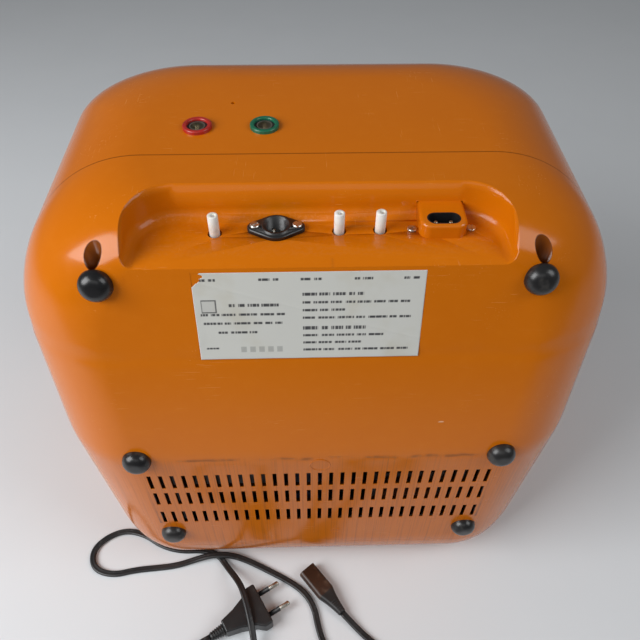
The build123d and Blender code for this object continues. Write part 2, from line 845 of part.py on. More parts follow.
# Loudspeaker behind the slots
def oval(wide, long, z):
    """An upright oval outline in the loudspeaker's place."""
    with BuildSketch(Plane.XY.offset(z)) as outline:
        with Locations((controls_x, speaker_y)):
            RectangleRounded(wide, long, wide / 2 - 0.1)
    return outline.sketch


basket_deep = 12.0
rim_thick = 1.5
basket_low = mask_top + rim_thick
with BuildPart() as speaker_frame:
    add(oval(speaker_wide, speaker_long, mask_top))
    extrude(amount=rim_thick)
    loft(
        sections=[
            oval(speaker_wide - 3, speaker_long - 4, basket_low),
            oval(20, 20, basket_low + basket_deep),
        ]
    )
    add(oval(speaker_wide - 6, speaker_long - 7, mask_top))
    extrude(amount=rim_thick, mode=Mode.SUBTRACT)
    loft(
        sections=[
            oval(speaker_wide - 6, speaker_long - 7, basket_low),
            oval(15, 15, basket_low + basket_deep - 1.5),
        ],
        mode=Mode.SUBTRACT,
    )
speaker_frame.part.label = "speaker_frame"
export_step(speaker_frame.part, "parts/speaker_frame.step")

with BuildPart() as speaker_cone:
    loft(sections=[oval(speaker_wide - 7, speaker_long - 8, basket_low), oval(12, 12, basket_low + 9)])
    loft(
        sections=[oval(speaker_wide - 9, speaker_long - 10, basket_low), oval(10, 10, basket_low + 8)],
        mode=Mode.SUBTRACT,
    )
speaker_cone.part.label = "speaker_cone"
export_step(speaker_cone.part, "parts/speaker_cone.step")

with BuildPart() as speaker_magnet:
    with BuildSketch(Plane.XY.offset(basket_low + basket_deep)):
        with Locations((controls_x, speaker_y)):
            Circle(12.5)
    extrude(amount=11)
    chamfer(speaker_magnet.faces().sort_by(Axis.Z)[-1].edges(), 1)
speaker_magnet.part.label = "speaker_magnet"
export_step(speaker_magnet.part, "parts/speaker_magnet.step")

# Picture tube, its band and what sits on its neck
face_low = 13.0
face_sphere = 700.0
neck_low = 188.0
neck_high = 268.0
neck_radius = 10.0
glass_wall = 7.0


def tube_face(wide, high, radius, z):
    """The tube's outline at one depth."""
    with BuildSketch(Plane.XY.offset(z)) as outline:
        with Locations((screen_x, screen_y)):
            RectangleRounded(wide, high, radius)
    return outline.sketch


funnel = (
    (tube_wide, tube_high, tube_corner, tube_skirt),
    (146, 112, 40, 100),
    (60, 54, 20, 150),
    (28, 28, 11, neck_low),
)
with BuildPart() as picture_tube:
    add(tube_face(tube_wide, tube_high, tube_corner, face_low))
    extrude(amount=tube_skirt - face_low)
    with Locations((screen_x, screen_y, face_low + face_sphere)):
        Sphere(face_sphere, mode=Mode.INTERSECT)
    loft(sections=[tube_face(*section) for section in funnel])
    with BuildSketch(Plane.XY.offset(neck_low)):
        with Locations((screen_x, screen_y)):
            Circle(neck_radius)
    extrude(amount=neck_high - neck_low)
    loft(
        sections=[
            tube_face(w - 2 * glass_wall, h - 2 * glass_wall, r - glass_wall, z) for w, h, r, z in funnel
        ],
        mode=Mode.SUBTRACT,
    )
    with BuildSketch(Plane.XY.offset(neck_low)):
        with Locations((screen_x, screen_y)):
            Circle(neck_radius - 1.5)
    extrude(amount=neck_high - neck_low, mode=Mode.SUBTRACT)
picture_tube.part.label = "picture_tube"
export_step(picture_tube.part, "parts/picture_tube.step")
print("tube", picture_tube.part.is_valid, picture_tube.part.volume)

with BuildPart() as tube_band:
    with BuildSketch(Plane.XY.offset(band_low)):
        with Locations((screen_x, screen_y)):
            grown = 2 * band_thick
            RectangleRounded(tube_wide + grown, tube_high + grown, tube_corner + band_thick)
            RectangleRounded(tube_wide, tube_high, tube_corner, mode=Mode.SUBTRACT)
    extrude(amount=band_high)
    with BuildSketch(Plane.XY.offset(band_low)):
        with Locations((screen_x, screen_y)):
            with GridLocations(2 * lug_x, tube_high + 2 * band_thick + 14, 2, 2):
                Rectangle(14, 14)
        with Locations(*lug_spots):
            Circle(small_shank, mode=Mode.SUBTRACT)
    extrude(amount=band_thick)
tube_band.part.label = "tube_band"
export_step(tube_band.part, "parts/tube_band.step")
small_screws("tube_screws", lug_spots, band_low + band_thick)

yoke_low = neck_low + 2
yoke_long = 42.0
flange = 3.0
with BuildPart() as yoke_former:
    for z, radius, long in (
        (yoke_low, 32.0, flange),
        (yoke_low + flange, 14.0, yoke_long - 2 * flange),
        (yoke_low + yoke_long - flange, 24.0, flange),
    ):
        with BuildSketch(Plane.XY.offset(z)):
            with Locations((screen_x, screen_y)):
                Circle(radius)
                Circle(neck_radius, mode=Mode.SUBTRACT)
        extrude(amount=long)
yoke_former.part.label = "yoke_former"
export_step(yoke_former.part, "parts/yoke_former.step")

with BuildPart() as yoke_coils:
    with BuildSketch(Plane.XY.offset(yoke_low + flange)):
        with Locations((screen_x, screen_y)):
            Circle(30)
    extrude(amount=yoke_long - 2 * flange, taper=14)
    with BuildSketch(Plane.XY.offset(yoke_low + flange)):
        with Locations((screen_x, screen_y)):
            Circle(14)
    extrude(amount=yoke_long - 2 * flange, mode=Mode.SUBTRACT)
yoke_coils.part.label = "yoke_coils"
export_step(yoke_coils.part, "parts/yoke_coils.step")

with BuildPart() as tube_socket:
    with BuildSketch(Plane.XY.offset(neck_high)):
        with Locations((screen_x, screen_y)):
            RectangleRounded(46, 46, 5)
    extrude(amount=board_thick)
    with BuildSketch(Plane.XY.offset(neck_high + board_thick)):
        with Locations((screen_x, screen_y)):
            Circle(14)
    extrude(amount=9)
tube_socket.part.label = "tube_socket"
export_step(tube_socket.part, "parts/tube_socket.step")

# Main board under the top, on four pillars of the cover
with BuildPart() as main_board:
    with BuildSketch(Plane.XZ.offset(-board_y)):
        with Locations((0, (board_low + board_high) / 2)):
            Rectangle(board_wide, board_high - board_low)
        with Locations(*board_spots):
            Circle(small_shank, mode=Mode.SUBTRACT)
    extrude(amount=-board_thick)
main_board.part.label = "main_board"
export_step(main_board.part, "parts/main_board.step")

with BuildPart() as board_screws:
    with BuildSketch(Plane.XZ.offset(-board_y)):
        with Locations(*board_spots):
            Circle(small_head)
    extrude(amount=small_rise)
    with BuildSketch(Plane.XZ.offset(-board_y)):
        with Locations(*board_spots):
            Circle(small_shank)
    extrude(amount=-7)
board_screws.part.label = "board_screws"
export_step(board_screws.part, "parts/board_screws.step")

with BuildPart() as line_transformer:
    with BuildSketch(Plane.XZ.offset(-board_y)):
        with Locations((56, 170)):
            Rectangle(34, 40)
    extrude(amount=14)
    with BuildSketch(Plane.XZ.offset(-board_y + 14)):
        with Locations((56, 170)):
            Circle(16)
    extrude(amount=20)
line_transformer.part.label = "line_transformer"
export_step(line_transformer.part, "parts/line_transformer.step")

with BuildPart() as board_capacitors:
    with BuildSketch(Plane.XZ.offset(-board_y - board_thick)):
        with Locations((-72, 70), (-46, 74), (-18, 68), (30, 72), (66, 160), (-60, 158), (-30, 170)):
            Circle(6)
    extrude(amount=-13)
    fillet(board_capacitors.faces().group_by(Axis.Y)[-1].edges(), 0.8)
board_capacitors.part.label = "board_capacitors"
export_step(board_capacitors.part, "parts/board_capacitors.step")

# Chassis plate on the case posts, with the power supply and the tuner under it
with BuildPart() as chassis_plate:
    with BuildSketch(Plane.XZ.offset(-chassis_y)):
        with Locations((0, (chassis_low + chassis_high) / 2)):
            Rectangle(2 * chassis_half, chassis_high - chassis_low)
    extrude(amount=-chassis_thick)
chassis_plate.part.label = "chassis_plate"
export_step(chassis_plate.part, "parts/chassis_plate.step")


def hung_block(x, z, wide, long, deep, gap=0.0):
    """A block hung under the chassis plate, as one solid."""
    with BuildPart() as block:
        with BuildSketch(Plane.XZ.offset(-chassis_y + gap)):
            with Locations((x, z)):
                Rectangle(wide, long)
        extrude(amount=deep)
    return block.part


winding = hung_block(66, 108, 34, 32, 36)
with BuildPart() as mains_core:
    add(hung_block(66, 108, 58, 46, 30, gap=3))
    add(winding, mode=Mode.SUBTRACT)
mains_core.part.label = "mains_core"
export_step(mains_core.part, "parts/mains_core.step")

with BuildPart() as mains_winding:
    add(winding)
mains_winding.part.label = "mains_winding"
export_step(mains_winding.part, "parts/mains_winding.step")

with BuildPart() as tuner_box:
    add(hung_block(-66, 104, 62, 44, 26))
    fillet(tuner_box.edges().filter_by(Axis.Y), 2)
tuner_box.part.label = "tuner_box"
export_step(tuner_box.part, "parts/tuner_box.step")

with BuildPart() as filter_capacitors:
    with BuildSketch(Plane.XZ.offset(-chassis_y)):
        with Locations((-10, 90), (-10, 122)):
            Circle(12)
    extrude(amount=32)
    fillet(filter_capacitors.faces().group_by(Axis.Y)[0].edges(), 1.5)
filter_capacitors.part.label = "filter_capacitors"
export_step(filter_capacitors.part, "parts/filter_capacitors.step")

with BuildPart() as heat_sink:
    add(hung_block(40, 206, 80, 30, 3))
    for fin in range(-3, 4):
        add(hung_block(40 + 12 * fin, 206, 2, 30, 20))
heat_sink.part.label = "heat_sink"
export_step(heat_sink.part, "parts/heat_sink.step")

# Mains lead, lying loose: connector, cord, coil and plug
cord_radius = 2.1
lying = 2.25
plug_face = Vector(-46.5, -174.8, 0)
plug_turn = 30.0
plug_long = 36.0
plug_tail = 12.0
plug_half = 17.6
plug_thick = 13.4
plug_low = 0.3
plug_mid = plug_low + plug_thick / 2
plug_pin_span = 18.6
plug_outline = (
    (0, 0),
    (0, plug_half),
    (-7, plug_half),
    (-12.5, 13.0),
    (-24, 8.2),
    (-plug_long, 5.2),
    (-plug_long, 0),
)
plug_pin_long = 19.0
connector_tip = Vector(-10.5, -146.0, 0)
connector_turn = -51.5
connector_high = 9.0
connector_wide = 15.0
connector_mid = 0.3 + connector_high / 2
connector_long = 46.0
coil_centre = (62.0, -248.0)
coil_mean = 28.0
coil_half = 5.5
coil_high = 9.0


def along(start, turn, distance, z):
    """The point a distance from start in the direction turn, at height z."""
    return (start.X + distance * cos(radians(turn)), start.Y + distance * sin(radians(turn)), z)


connector_end = along(connector_tip, connector_turn, connector_long, connector_mid)
plug_end = along(plug_face, plug_turn, -plug_long - plug_tail, plug_mid)
near_route = [
    connector_end,
    (26.5, -190.5, 3.2),
    (37.0, -201.0, lying),
    (50.0, -211.5, lying),
    (66.0, -220.0, lying),
]
far_route = [
    (34.0, -250.0, lying),
    (33.0, -235.0, lying),
    (25.5, -222.5, lying),
    (12.5, -215.5, lying),
    (2.5, -206.0, lying),
    (-2.0, -191.5, lying),
    (-4.5, -177.0, lying),
    (-12.0, -164.5, lying),
    (-24.5, -155.0, lying),
    (-42.2, -145.5, lying),
    (-62.0, -135.8, 3.4),
    (-78.0, -131.6, 6.8),
    (-94.0, -131.8, 6.6),
    (-108.5, -134.4, 3.2),
    (-123.0, -138.6, lying),
    (-140.0, -140.2, lying),
    (-158.0, -141.4, lying),
    (-177.0, -145.6, lying),
    (-194.5, -139.5, lying),
    (-198.5, -123.5, lying),
    (-188.0, -111.5, lying),
    (-172.0, -105.5, lying),
    (-154.0, -110.0, lying),
    (-138.0, -120.8, lying),
    (-120.0, -125.8, lying),
    (-102.0, -125.2, lying),
    (-87.5, -129.6, lying),
    (-79.5, -141.0, 4.4),
    (-71.5, -152.0, 11.0),
    (-64.5, -163.0, 16.8),
    (-59.5, -177.0, 17.2),
    (-55.5, -191.5, 15.6),
    (-52.5, -206.0, 8.6),
    (-51.5, -220.0, 2.9),
    (-54.5, -234.5, lying),
    (-65.0, -245.5, lying),
    (-80.0, -251.0, lying),
    (-96.0, -250.0, lying),
    (-110.0, -242.0, lying),
    (-117.0, -228.0, 2.6),
    (-113.0, -213.5, 4.2),
    (-101.5, -205.5, 6.2),
    plug_end,
]


def bend_radii(route):
    """One radius for each corner of a route, as large as its two runs allow."""
    points = [Vector(*point) for point in route]
    radii = []
    for before, here, after in zip(points, points[1:], points[2:]):
        turn = (here - before).get_angle(after - here)
        shorter = min((here - before).length, (after - here).length)
        radii.append(0.45 * shorter / tan(radians(turn / 2)))
    return radii


cord_length = 0.0
with BuildPart() as cord_tube:
    for route in (near_route, far_route):
        radii = bend_radii(route)
        print("bend radii", [round(radius, 1) for radius in radii])
        with BuildLine() as path:
            FilletPolyline(*route, radius=radii)
        cord_length += sum(edge.length for edge in path.edges())
        with BuildSketch(Plane(origin=path.line @ 0, z_dir=path.line % 0)):
            Circle(cord_radius)
        sweep()
cord_tube.part.label = "cord_tube"
export_step(cord_tube.part, "parts/cord_tube.step")
print("cord", cord_length, "volume", cord_tube.part.volume, "expected", cord_length * pi * cord_radius**2)

with BuildPart() as cord_coil:
    with BuildSketch(Plane.XY.offset(0.1)):
        with Locations(coil_centre):
            Circle(coil_mean + coil_half)
            Circle(coil_mean - coil_half, mode=Mode.SUBTRACT)
    extrude(amount=coil_high)
    fillet(cord_coil.edges(), 2.0)
cord_coil.part.label = "cord_coil"
export_step(cord_coil.part, "parts/cord_coil.step")

plug_plane = Plane(
    origin=(plug_face.X, plug_face.Y, plug_low),
    x_dir=(cos(radians(plug_turn)), sin(radians(plug_turn)), 0),
    z_dir=(0, 0, 1),
)
tail_plane = Plane(
    origin=along(plug_face, plug_turn, -plug_long + 1, plug_mid),
    z_dir=(-cos(radians(plug_turn)), -sin(radians(plug_turn)), 0),
)
with BuildPart() as mains_plug:
    with BuildSketch(plug_plane):
        with BuildLine() as half:
            Polyline(*plug_outline)
            mirror(about=Plane.XZ)
        make_face()
    extrude(amount=plug_thick)
    fillet(mains_plug.edges().filter_by(Axis.Z), 1.6)
    fillet(mains_plug.faces().filter_by(Axis.Z).edges(), 1.5)
    with BuildSketch(tail_plane):
        Circle(4.6)
    extrude(amount=plug_tail + 1, taper=7)
mains_plug.part.label = "mains_plug"
export_step(mains_plug.part, "parts/mains_plug.step")

pin_plane = Plane(
    origin=along(plug_face, plug_turn, 0, plug_mid),
    x_dir=(-sin(radians(plug_turn)), cos(radians(plug_turn)), 0),
    z_dir=(cos(radians(plug_turn)), sin(radians(plug_turn)), 0),
)
with BuildPart() as plug_pins:
    with BuildSketch(pin_plane):
        with Locations((-plug_pin_span / 2, 0), (plug_pin_span / 2, 0)):
            Circle(2.0)
    extrude(amount=plug_pin_long)
    fillet(plug_pins.faces().group_by(Axis(pin_plane.origin, pin_plane.z_dir))[-1].edges(), 1.2)
plug_pins.part.label = "plug_pins"
export_step(plug_pins.part, "parts/plug_pins.step")


def connector_plane(distance):
    """A plane across the connector at a distance from its tip."""
    return Plane(
        origin=along(connector_tip, connector_turn, distance, connector_mid),
        x_dir=(-sin(radians(connector_turn)), cos(radians(connector_turn)), 0),
        z_dir=(cos(radians(connector_turn)), sin(radians(connector_turn)), 0),
    )


with BuildPart() as cord_connector:
    with BuildSketch(connector_plane(0)):
        RectangleRounded(connector_wide, connector_high, 3.0)
    extrude(amount=25)
    with BuildSketch(connector_plane(25)):
        RectangleRounded(connector_wide, connector_high, 3.0)
    with BuildSketch(connector_plane(33)):
        RectangleRounded(10.5, 8.0, 2.8)
    with BuildSketch(connector_plane(connector_long)):
        RectangleRounded(6.4, 5.8, 2.6)
    loft()
    with BuildSketch(connector_plane(0)):
        with Locations((-inlet_pin_span / 2, 0), (inlet_pin_span / 2, 0)):
            Circle(1.5)
    extrude(amount=13, mode=Mode.SUBTRACT)
cord_connector.part.label = "cord_connector"
export_step(cord_connector.part, "parts/cord_connector.step")
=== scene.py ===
import json
import math
import random

import bmesh
import bpy
import numpy as np
from mathutils import Matrix, Vector


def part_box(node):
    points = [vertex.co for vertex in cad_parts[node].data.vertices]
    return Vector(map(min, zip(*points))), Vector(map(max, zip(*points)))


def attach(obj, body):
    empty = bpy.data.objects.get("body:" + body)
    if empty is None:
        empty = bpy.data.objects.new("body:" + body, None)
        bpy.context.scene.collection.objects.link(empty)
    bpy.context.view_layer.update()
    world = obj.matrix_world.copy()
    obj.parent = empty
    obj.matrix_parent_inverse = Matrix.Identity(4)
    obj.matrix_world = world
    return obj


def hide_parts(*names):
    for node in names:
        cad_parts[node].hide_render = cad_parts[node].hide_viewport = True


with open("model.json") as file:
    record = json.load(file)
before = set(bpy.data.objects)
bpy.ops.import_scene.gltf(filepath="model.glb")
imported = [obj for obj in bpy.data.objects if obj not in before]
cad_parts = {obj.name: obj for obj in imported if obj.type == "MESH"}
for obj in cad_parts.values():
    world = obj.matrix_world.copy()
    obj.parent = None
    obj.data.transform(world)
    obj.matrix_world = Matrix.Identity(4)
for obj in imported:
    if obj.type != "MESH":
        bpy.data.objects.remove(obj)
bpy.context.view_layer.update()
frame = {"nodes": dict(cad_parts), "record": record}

# The view: a camera above the underside's edge, tilted down at the back of the set.
# Floor, backdrop and lights are plain studio pieces and no part of the set.
camera_place = Vector((-0.00869, -0.35559, 0.55659))
camera_pitch = math.radians(47.90)
camera_yaw = math.radians(-2.02)
camera_roll = math.radians(-0.573)
camera_data = bpy.data.cameras.new("camera")
camera_data.sensor_width = 36.0
camera_data.lens = 36.0
camera = bpy.data.objects.new("camera", camera_data)
bpy.context.collection.objects.link(camera)
bpy.context.scene.camera = camera
aim = Matrix.Rotation(camera_yaw, 3, "Z") @ Matrix.Rotation(math.pi / 2 - camera_pitch, 3, "X")
aim = aim @ Matrix.Rotation(-camera_roll, 3, "Z")
camera.matrix_world = Matrix.Translation(camera_place) @ aim.to_4x4()


class Tone:
    """A value on its way through a finish; sums written on it become Math nodes."""

    def __init__(self, finish, socket):
        self.finish = finish
        self.socket = socket

    def math(self, operation, *others):
        values = {0: self}
        for place, other in enumerate(others, 1):
            values[place] = other
        return self.finish.add("Math", {"operation": operation}, values)

    def __add__(self, other):
        return self.math("ADD", other)

    def __mul__(self, other):
        return self.math("MULTIPLY", other)

    def __sub__(self, other):
        return self.math("SUBTRACT", other)

    def __rsub__(self, other):
        return self.finish.add("Math", {"operation": "SUBTRACT"}, {0: other, 1: self})

    __radd__ = __add__
    __rmul__ = __mul__

    def least(self, other):
        return self.math("MINIMUM", other)

    def most(self, other):
        return self.math("MAXIMUM", other)

    def size(self):
        return self.math("ABSOLUTE")

    def rising(self, low, high):
        """0 below low, 1 above high and a soft step between them; falls if high is the lower."""
        settings = {"interpolation_type": "SMOOTHSTEP"}
        if high > low:
            ends = {"Value": self, "From Min": low, "From Max": high, "To Min": 0.0, "To Max": 1.0}
        else:
            ends = {"Value": self, "From Min": high, "From Max": low, "To Min": 1.0, "To Max": 0.0}
        return self.finish.add("MapRange", settings, ends)


class Finish:
    """One material and its nodes."""

    def __init__(self, name):
        self.material = bpy.data.materials.new(name)
        self.material.use_nodes = True
        self.tree = self.material.node_tree
        self.tree.nodes.clear()
        place = self.add("TexCoord", {}, {}, "Object")
        self.place = self.add("VectorMath", {"operation": "SCALE"}, {0: place, "Scale": 1000.0})

    def add(self, kind, settings, values, output=0):
        """Puts in one node, settings first, then its sockets' values or links."""
        node = self.tree.nodes.new("ShaderNode" + kind)
        for name, value in settings.items():
            setattr(node, name, value)
        for name, value in values.items():
            if isinstance(value, Tone):
                self.tree.links.new(value.socket, node.inputs[name])
            else:
                node.inputs[name].default_value = value
        return Tone(self, node.outputs[output]) if len(node.outputs) else None

    def axes(self):
        """The place on the object along X, Y and Z, in millimetres."""
        node = self.add("SeparateXYZ", {}, {"Vector": self.place}).socket.node
        return [Tone(self, node.outputs[axis]) for axis in "XYZ"]

    def along(self, way):
        """The place along one direction, in millimetres."""
        return self.add("VectorMath", {"operation": "DOT_PRODUCT"}, {0: self.place, 1: tuple(way)}, 1)

    def stretched(self, x, y, z):
        return self.add("VectorMath", {"operation": "MULTIPLY"}, {0: self.place, 1: (x, y, z)})

    def noise(self, scale, detail=2.0, place=None):
        values = {"Vector": place or self.place, "Scale": scale, "Detail": detail}
        return self.add("TexNoise", {}, values)

    def blend(self, share, first, second):
        """One colour turned into another by share."""
        values = {0: share, 6: first, 7: second}
        return self.add("Mix", {"data_type": "RGBA"}, values, 2)

    def shade(self, colour, roughness, height=None, depth=0.00002, metallic=0.0, coat=0.0, more=None):
        """Ends the finish in its shader; height is in depths, and depth in metres."""
        values = {"Base Color": colour, "Roughness": roughness, "Metallic": metallic, "Coat Weight": coat}
        values.update(more or {})
        if height is not None:
            bump = {"Height": height, "Distance": depth, "Strength": 1.0}
            values["Normal"] = self.add("Bump", {}, bump)
        shader = self.add("BsdfPrincipled", {}, values)
        self.add("OutputMaterial", {}, {"Surface": shader})
        return self.material


# The floor: one pale sheet of paper, darker far in front of the set where the view doesn't reach.
floor_mesh = bpy.data.meshes.new("floor")
floor_corners = [(-4.0, -3.0, 0.0), (4.0, -3.0, 0.0), (4.0, 4.0, 0.0), (-4.0, 4.0, 0.0)]
floor_mesh.from_pydata(floor_corners, [], [(0, 1, 2, 3)])
paper = Finish("floor")
floor_y = paper.axes()[1]
paper_tone = paper.blend(paper.noise(0.01, 3.0), (0.72, 0.74, 0.76, 1.0), (0.69, 0.71, 0.73, 1.0))
paper_tone = paper.blend(floor_y.rising(-380.0, -620.0), paper_tone, (0.16, 0.15, 0.15, 1.0))
floor_mesh.materials.append(paper.shade(paper_tone, 0.55))
floor = bpy.data.objects.new("floor", floor_mesh)
bpy.context.collection.objects.link(floor)


def softbox(name, place, target, width, length, watts, colour):
    data = bpy.data.lights.new(name, "AREA")
    data.shape = "RECTANGLE"
    data.size = width
    data.size_y = length
    data.energy = watts
    data.color = colour
    light = bpy.data.objects.new(name, data)
    bpy.context.collection.objects.link(light)
    way = Vector(target) - Vector(place)
    light.matrix_world = Matrix.Translation(Vector(place)) @ way.to_track_quat("-Z", "Y").to_matrix().to_4x4()


softbox("key_light", (-1.05, -0.55, 0.95), (-0.05, -0.1, 0.05), 0.9, 0.9, 20.0, (0.98, 0.99, 1.0))
softbox("fill_light", (1.2, -0.5, 1.3), (0.0, 0.0, 0.2), 0.9, 0.9, 9.0, (0.97, 0.99, 1.0))
softbox("near_light", (-0.1, -1.2, 1.2), (0.0, -0.35, 0.0), 1.0, 0.6, 1.5, (1.0, 1.0, 1.0))
world = bpy.data.worlds.new("studio")
bpy.context.scene.world = world
world.use_nodes = True
world.node_tree.nodes["Background"].inputs["Color"].default_value = (0.52, 0.53, 0.54, 1.0)
world.node_tree.nodes["Background"].inputs["Strength"].default_value = 0.24
bpy.context.scene.view_settings.view_transform = "Standard"

# The mains lead: a limp flat twin cord, 5.2 by 3.2 mm, with a moulded plug and a
# two-hole connector. It lies loose in front of the set and is not plugged in.
cord_wide = 0.0052
cord_thick = 0.0032
cord_lies = 0.0018
connector_end = Vector((0.01814, -0.18200, 0.00480))
plug_end = Vector((-0.08807, -0.19880, 0.00700))
plug_way = Vector((math.cos(math.radians(30)), math.sin(math.radians(30)), 0))
plug_face = plug_end + 0.048 * plug_way
connector_way = Vector((math.cos(math.radians(-51.5)), math.sin(math.radians(-51.5)), 0))
near_route = [
    connector_end,
    (0.0265, -0.1905, 0.0028),
    (0.0370, -0.2010, cord_lies),
    (0.0500, -0.2105, cord_lies),
    (0.0663, -0.2166, cord_lies),
]
far_route = [
    (0.0332, -0.2390, 0.0084),
    (0.0312, -0.2290, 0.0066),
    (0.0255, -0.2225, 0.0026),
    (0.0125, -0.2155, cord_lies),
    (0.0025, -0.2060, cord_lies),
    (-0.0020, -0.1915, cord_lies),
    (-0.0045, -0.1770, cord_lies),
    (-0.0120, -0.1645, cord_lies),
    (-0.0245, -0.1550, cord_lies),
    (-0.0422, -0.1455, cord_lies),
    (-0.0620, -0.1358, 0.0028),
    (-0.0780, -0.1316, 0.0060),
    (-0.0940, -0.1318, 0.0060),
    (-0.1085, -0.1344, 0.0026),
    (-0.1230, -0.1386, cord_lies),
    (-0.1400, -0.1402, cord_lies),
    (-0.1580, -0.1414, cord_lies),
    (-0.1770, -0.1456, cord_lies),
    (-0.1945, -0.1395, cord_lies),
    (-0.1985, -0.1235, cord_lies),
    (-0.1880, -0.1115, cord_lies),
    (-0.1720, -0.1055, cord_lies),
    (-0.1540, -0.1100, cord_lies),
    (-0.1380, -0.1208, cord_lies),
    (-0.1200, -0.1258, cord_lies),
    (-0.1020, -0.1252, cord_lies),
    (-0.0875, -0.1296, cord_lies),
    (-0.0795, -0.1410, 0.0036),
    (-0.0715, -0.1520, 0.0105),
    (-0.0645, -0.1630, 0.0166),
    (-0.0595, -0.1770, 0.0170),
    (-0.0555, -0.1915, 0.0152),
    (-0.0525, -0.2060, 0.0082),
    (-0.0515, -0.2200, 0.0024),
    (-0.0545, -0.2345, cord_lies),
    (-0.0650, -0.2455, cord_lies),
    (-0.0800, -0.2510, cord_lies),
    (-0.0960, -0.2500, cord_lies),
    (-0.1100, -0.2420, cord_lies),
    (-0.1170, -0.2280, 0.0022),
    (-0.1130, -0.2135, 0.0040),
    (-0.1015, -0.2055, 0.0062),
    plug_end,
]
coil_centre = Vector((0.0620, -0.2480, 0))
turn_points = 14
coil_start = math.radians(82)
coil_sweep = math.radians(360 * 4 + 260)
curve_growth = 1.013  # a curve through few points runs inside them
lanes = [
    (0.0318, 0.0018),
    (0.0258, 0.0018),
    (0.0258, 0.0051),
    (0.0318, 0.0051),
    (0.0288, 0.0084),
    (0.0288, 0.0084),
]
route = [Vector(point) for point in near_route]
steps = round(coil_sweep / math.tau * turn_points)
for step in range(1, steps):
    turned = step / steps * coil_sweep
    lane = int(turned / math.tau)
    part = min(1.0, max(0.0, (turned / math.tau - lane - 0.75) * 4))
    if turned < 0.1 * math.tau:
        part = 0.0
    radius = (1 - part) * lanes[lane][0] + part * lanes[lane + 1][0]
    rise = (1 - part) * lanes[lane][1] + part * lanes[lane + 1][1]
    angle = coil_start - turned
    reach = curve_growth * radius
    route.append(coil_centre + Vector((reach * math.cos(angle), reach * math.sin(angle), rise)))
route += [Vector(point) for point in far_route]
line = bpy.data.curves.new("cord_line", "CURVE")
line.dimensions = "3D"
line.resolution_u = 8
spline = line.splines.new("NURBS")
spline.points.add(len(route) - 1)
for point, place in zip(spline.points, route):
    point.co = (*place, 1.0)
spline.order_u = 3
spline.use_endpoint_u = True
line_object = bpy.data.objects.new("cord_line", line)
bpy.context.collection.objects.link(line_object)
bpy.context.view_layer.update()
line_mesh = bpy.data.meshes.new_from_object(line_object)
centres = [vertex.co.copy() for vertex in line_mesh.vertices]
bpy.data.objects.remove(line_object)

rim = []
waist_depth, waist_half = 0.34, 0.0006
for step in range(20):
    angle = math.tau * step / 20
    across = cord_wide / 2 * math.cos(angle)
    waist = 1 - waist_depth * math.exp(-((across / waist_half) ** 2))
    fullness = math.copysign(abs(math.sin(angle)) ** 0.75, math.sin(angle))
    rim.append((across, cord_thick / 2 * fullness * waist))
cord_mesh = bmesh.new()
rings = []
for number, centre in enumerate(centres):
    way = (centres[min(number + 1, len(centres) - 1)] - centres[max(number - 1, 0)]).normalized()
    side = way.cross(Vector((0, 0, 1))).normalized()
    upward = side.cross(way)
    rings.append([cord_mesh.verts.new(centre + x * side + y * upward) for x, y in rim])
for ring, following in zip(rings, rings[1:]):
    for spot in range(len(rim)):
        beside = (spot + 1) % len(rim)
        cord_mesh.faces.new((ring[spot], ring[beside], following[beside], following[spot]))
cord_mesh.faces.new(rings[0])
cord_mesh.faces.new(rings[-1])
bmesh.ops.recalc_face_normals(cord_mesh, faces=cord_mesh.faces)
mesh = bpy.data.meshes.new("mains_cord")
cord_mesh.to_mesh(mesh)
cord_mesh.free()
mesh.shade_smooth()
mains_cord = bpy.data.objects.new("mains_cord", mesh)
bpy.context.collection.objects.link(mains_cord)

sheath = Finish("cord_sheath")
scuffs = sheath.noise(0.35, 4.0).rising(0.55, 0.75)
dust = sheath.noise(0.03, 3.0).rising(0.45, 0.7) * 0.5
colour = sheath.blend((scuffs + dust) * 0.35, (0.012, 0.012, 0.013, 1), (0.09, 0.085, 0.08, 1))
mesh.materials.append(sheath.shade(colour, 0.38 + scuffs * 0.2, sheath.noise(1.5, 2.0), 0.00003))
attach(mains_cord, "set")
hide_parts("cord_tube", "cord_coil")

riders = {}
for body, nodes in frame["record"]["behaviour"]["bodies"].items():
    riders.update({node: body for node in nodes})


def shown(node, material, angle=34, edge=0.0):
    """A merged smooth copy of one CAD node, shown in its place, with its sharp edges broken by edge."""
    sculpt = bmesh.new()
    sculpt.from_mesh(frame["nodes"][node].data)
    bmesh.ops.remove_doubles(sculpt, verts=sculpt.verts, dist=0.000004)
    bmesh.ops.dissolve_degenerate(sculpt, edges=sculpt.edges, dist=0.000002)
    if edge:
        bmesh.ops.dissolve_limit(sculpt, angle_limit=0.01, verts=sculpt.verts, edges=sculpt.edges)
    copy = bpy.data.meshes.new(node + "_piece")
    sculpt.to_mesh(copy)
    sculpt.free()
    copy.shade_smooth()
    copy.set_sharp_from_angle(angle=math.radians(angle))
    copy.materials.append(material)
    piece = bpy.data.objects.new(node + "_piece", copy)
    bpy.context.collection.objects.link(piece)
    if edge:
        rounding = piece.modifiers.new("edge", "BEVEL")
        rounding.width = edge
        rounding.segments = 2
        rounding.limit_method = "ANGLE"
        rounding.angle_limit = math.radians(40)
        rounding.harden_normals = True
    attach(piece, riders[node])
    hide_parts(node)
    return piece


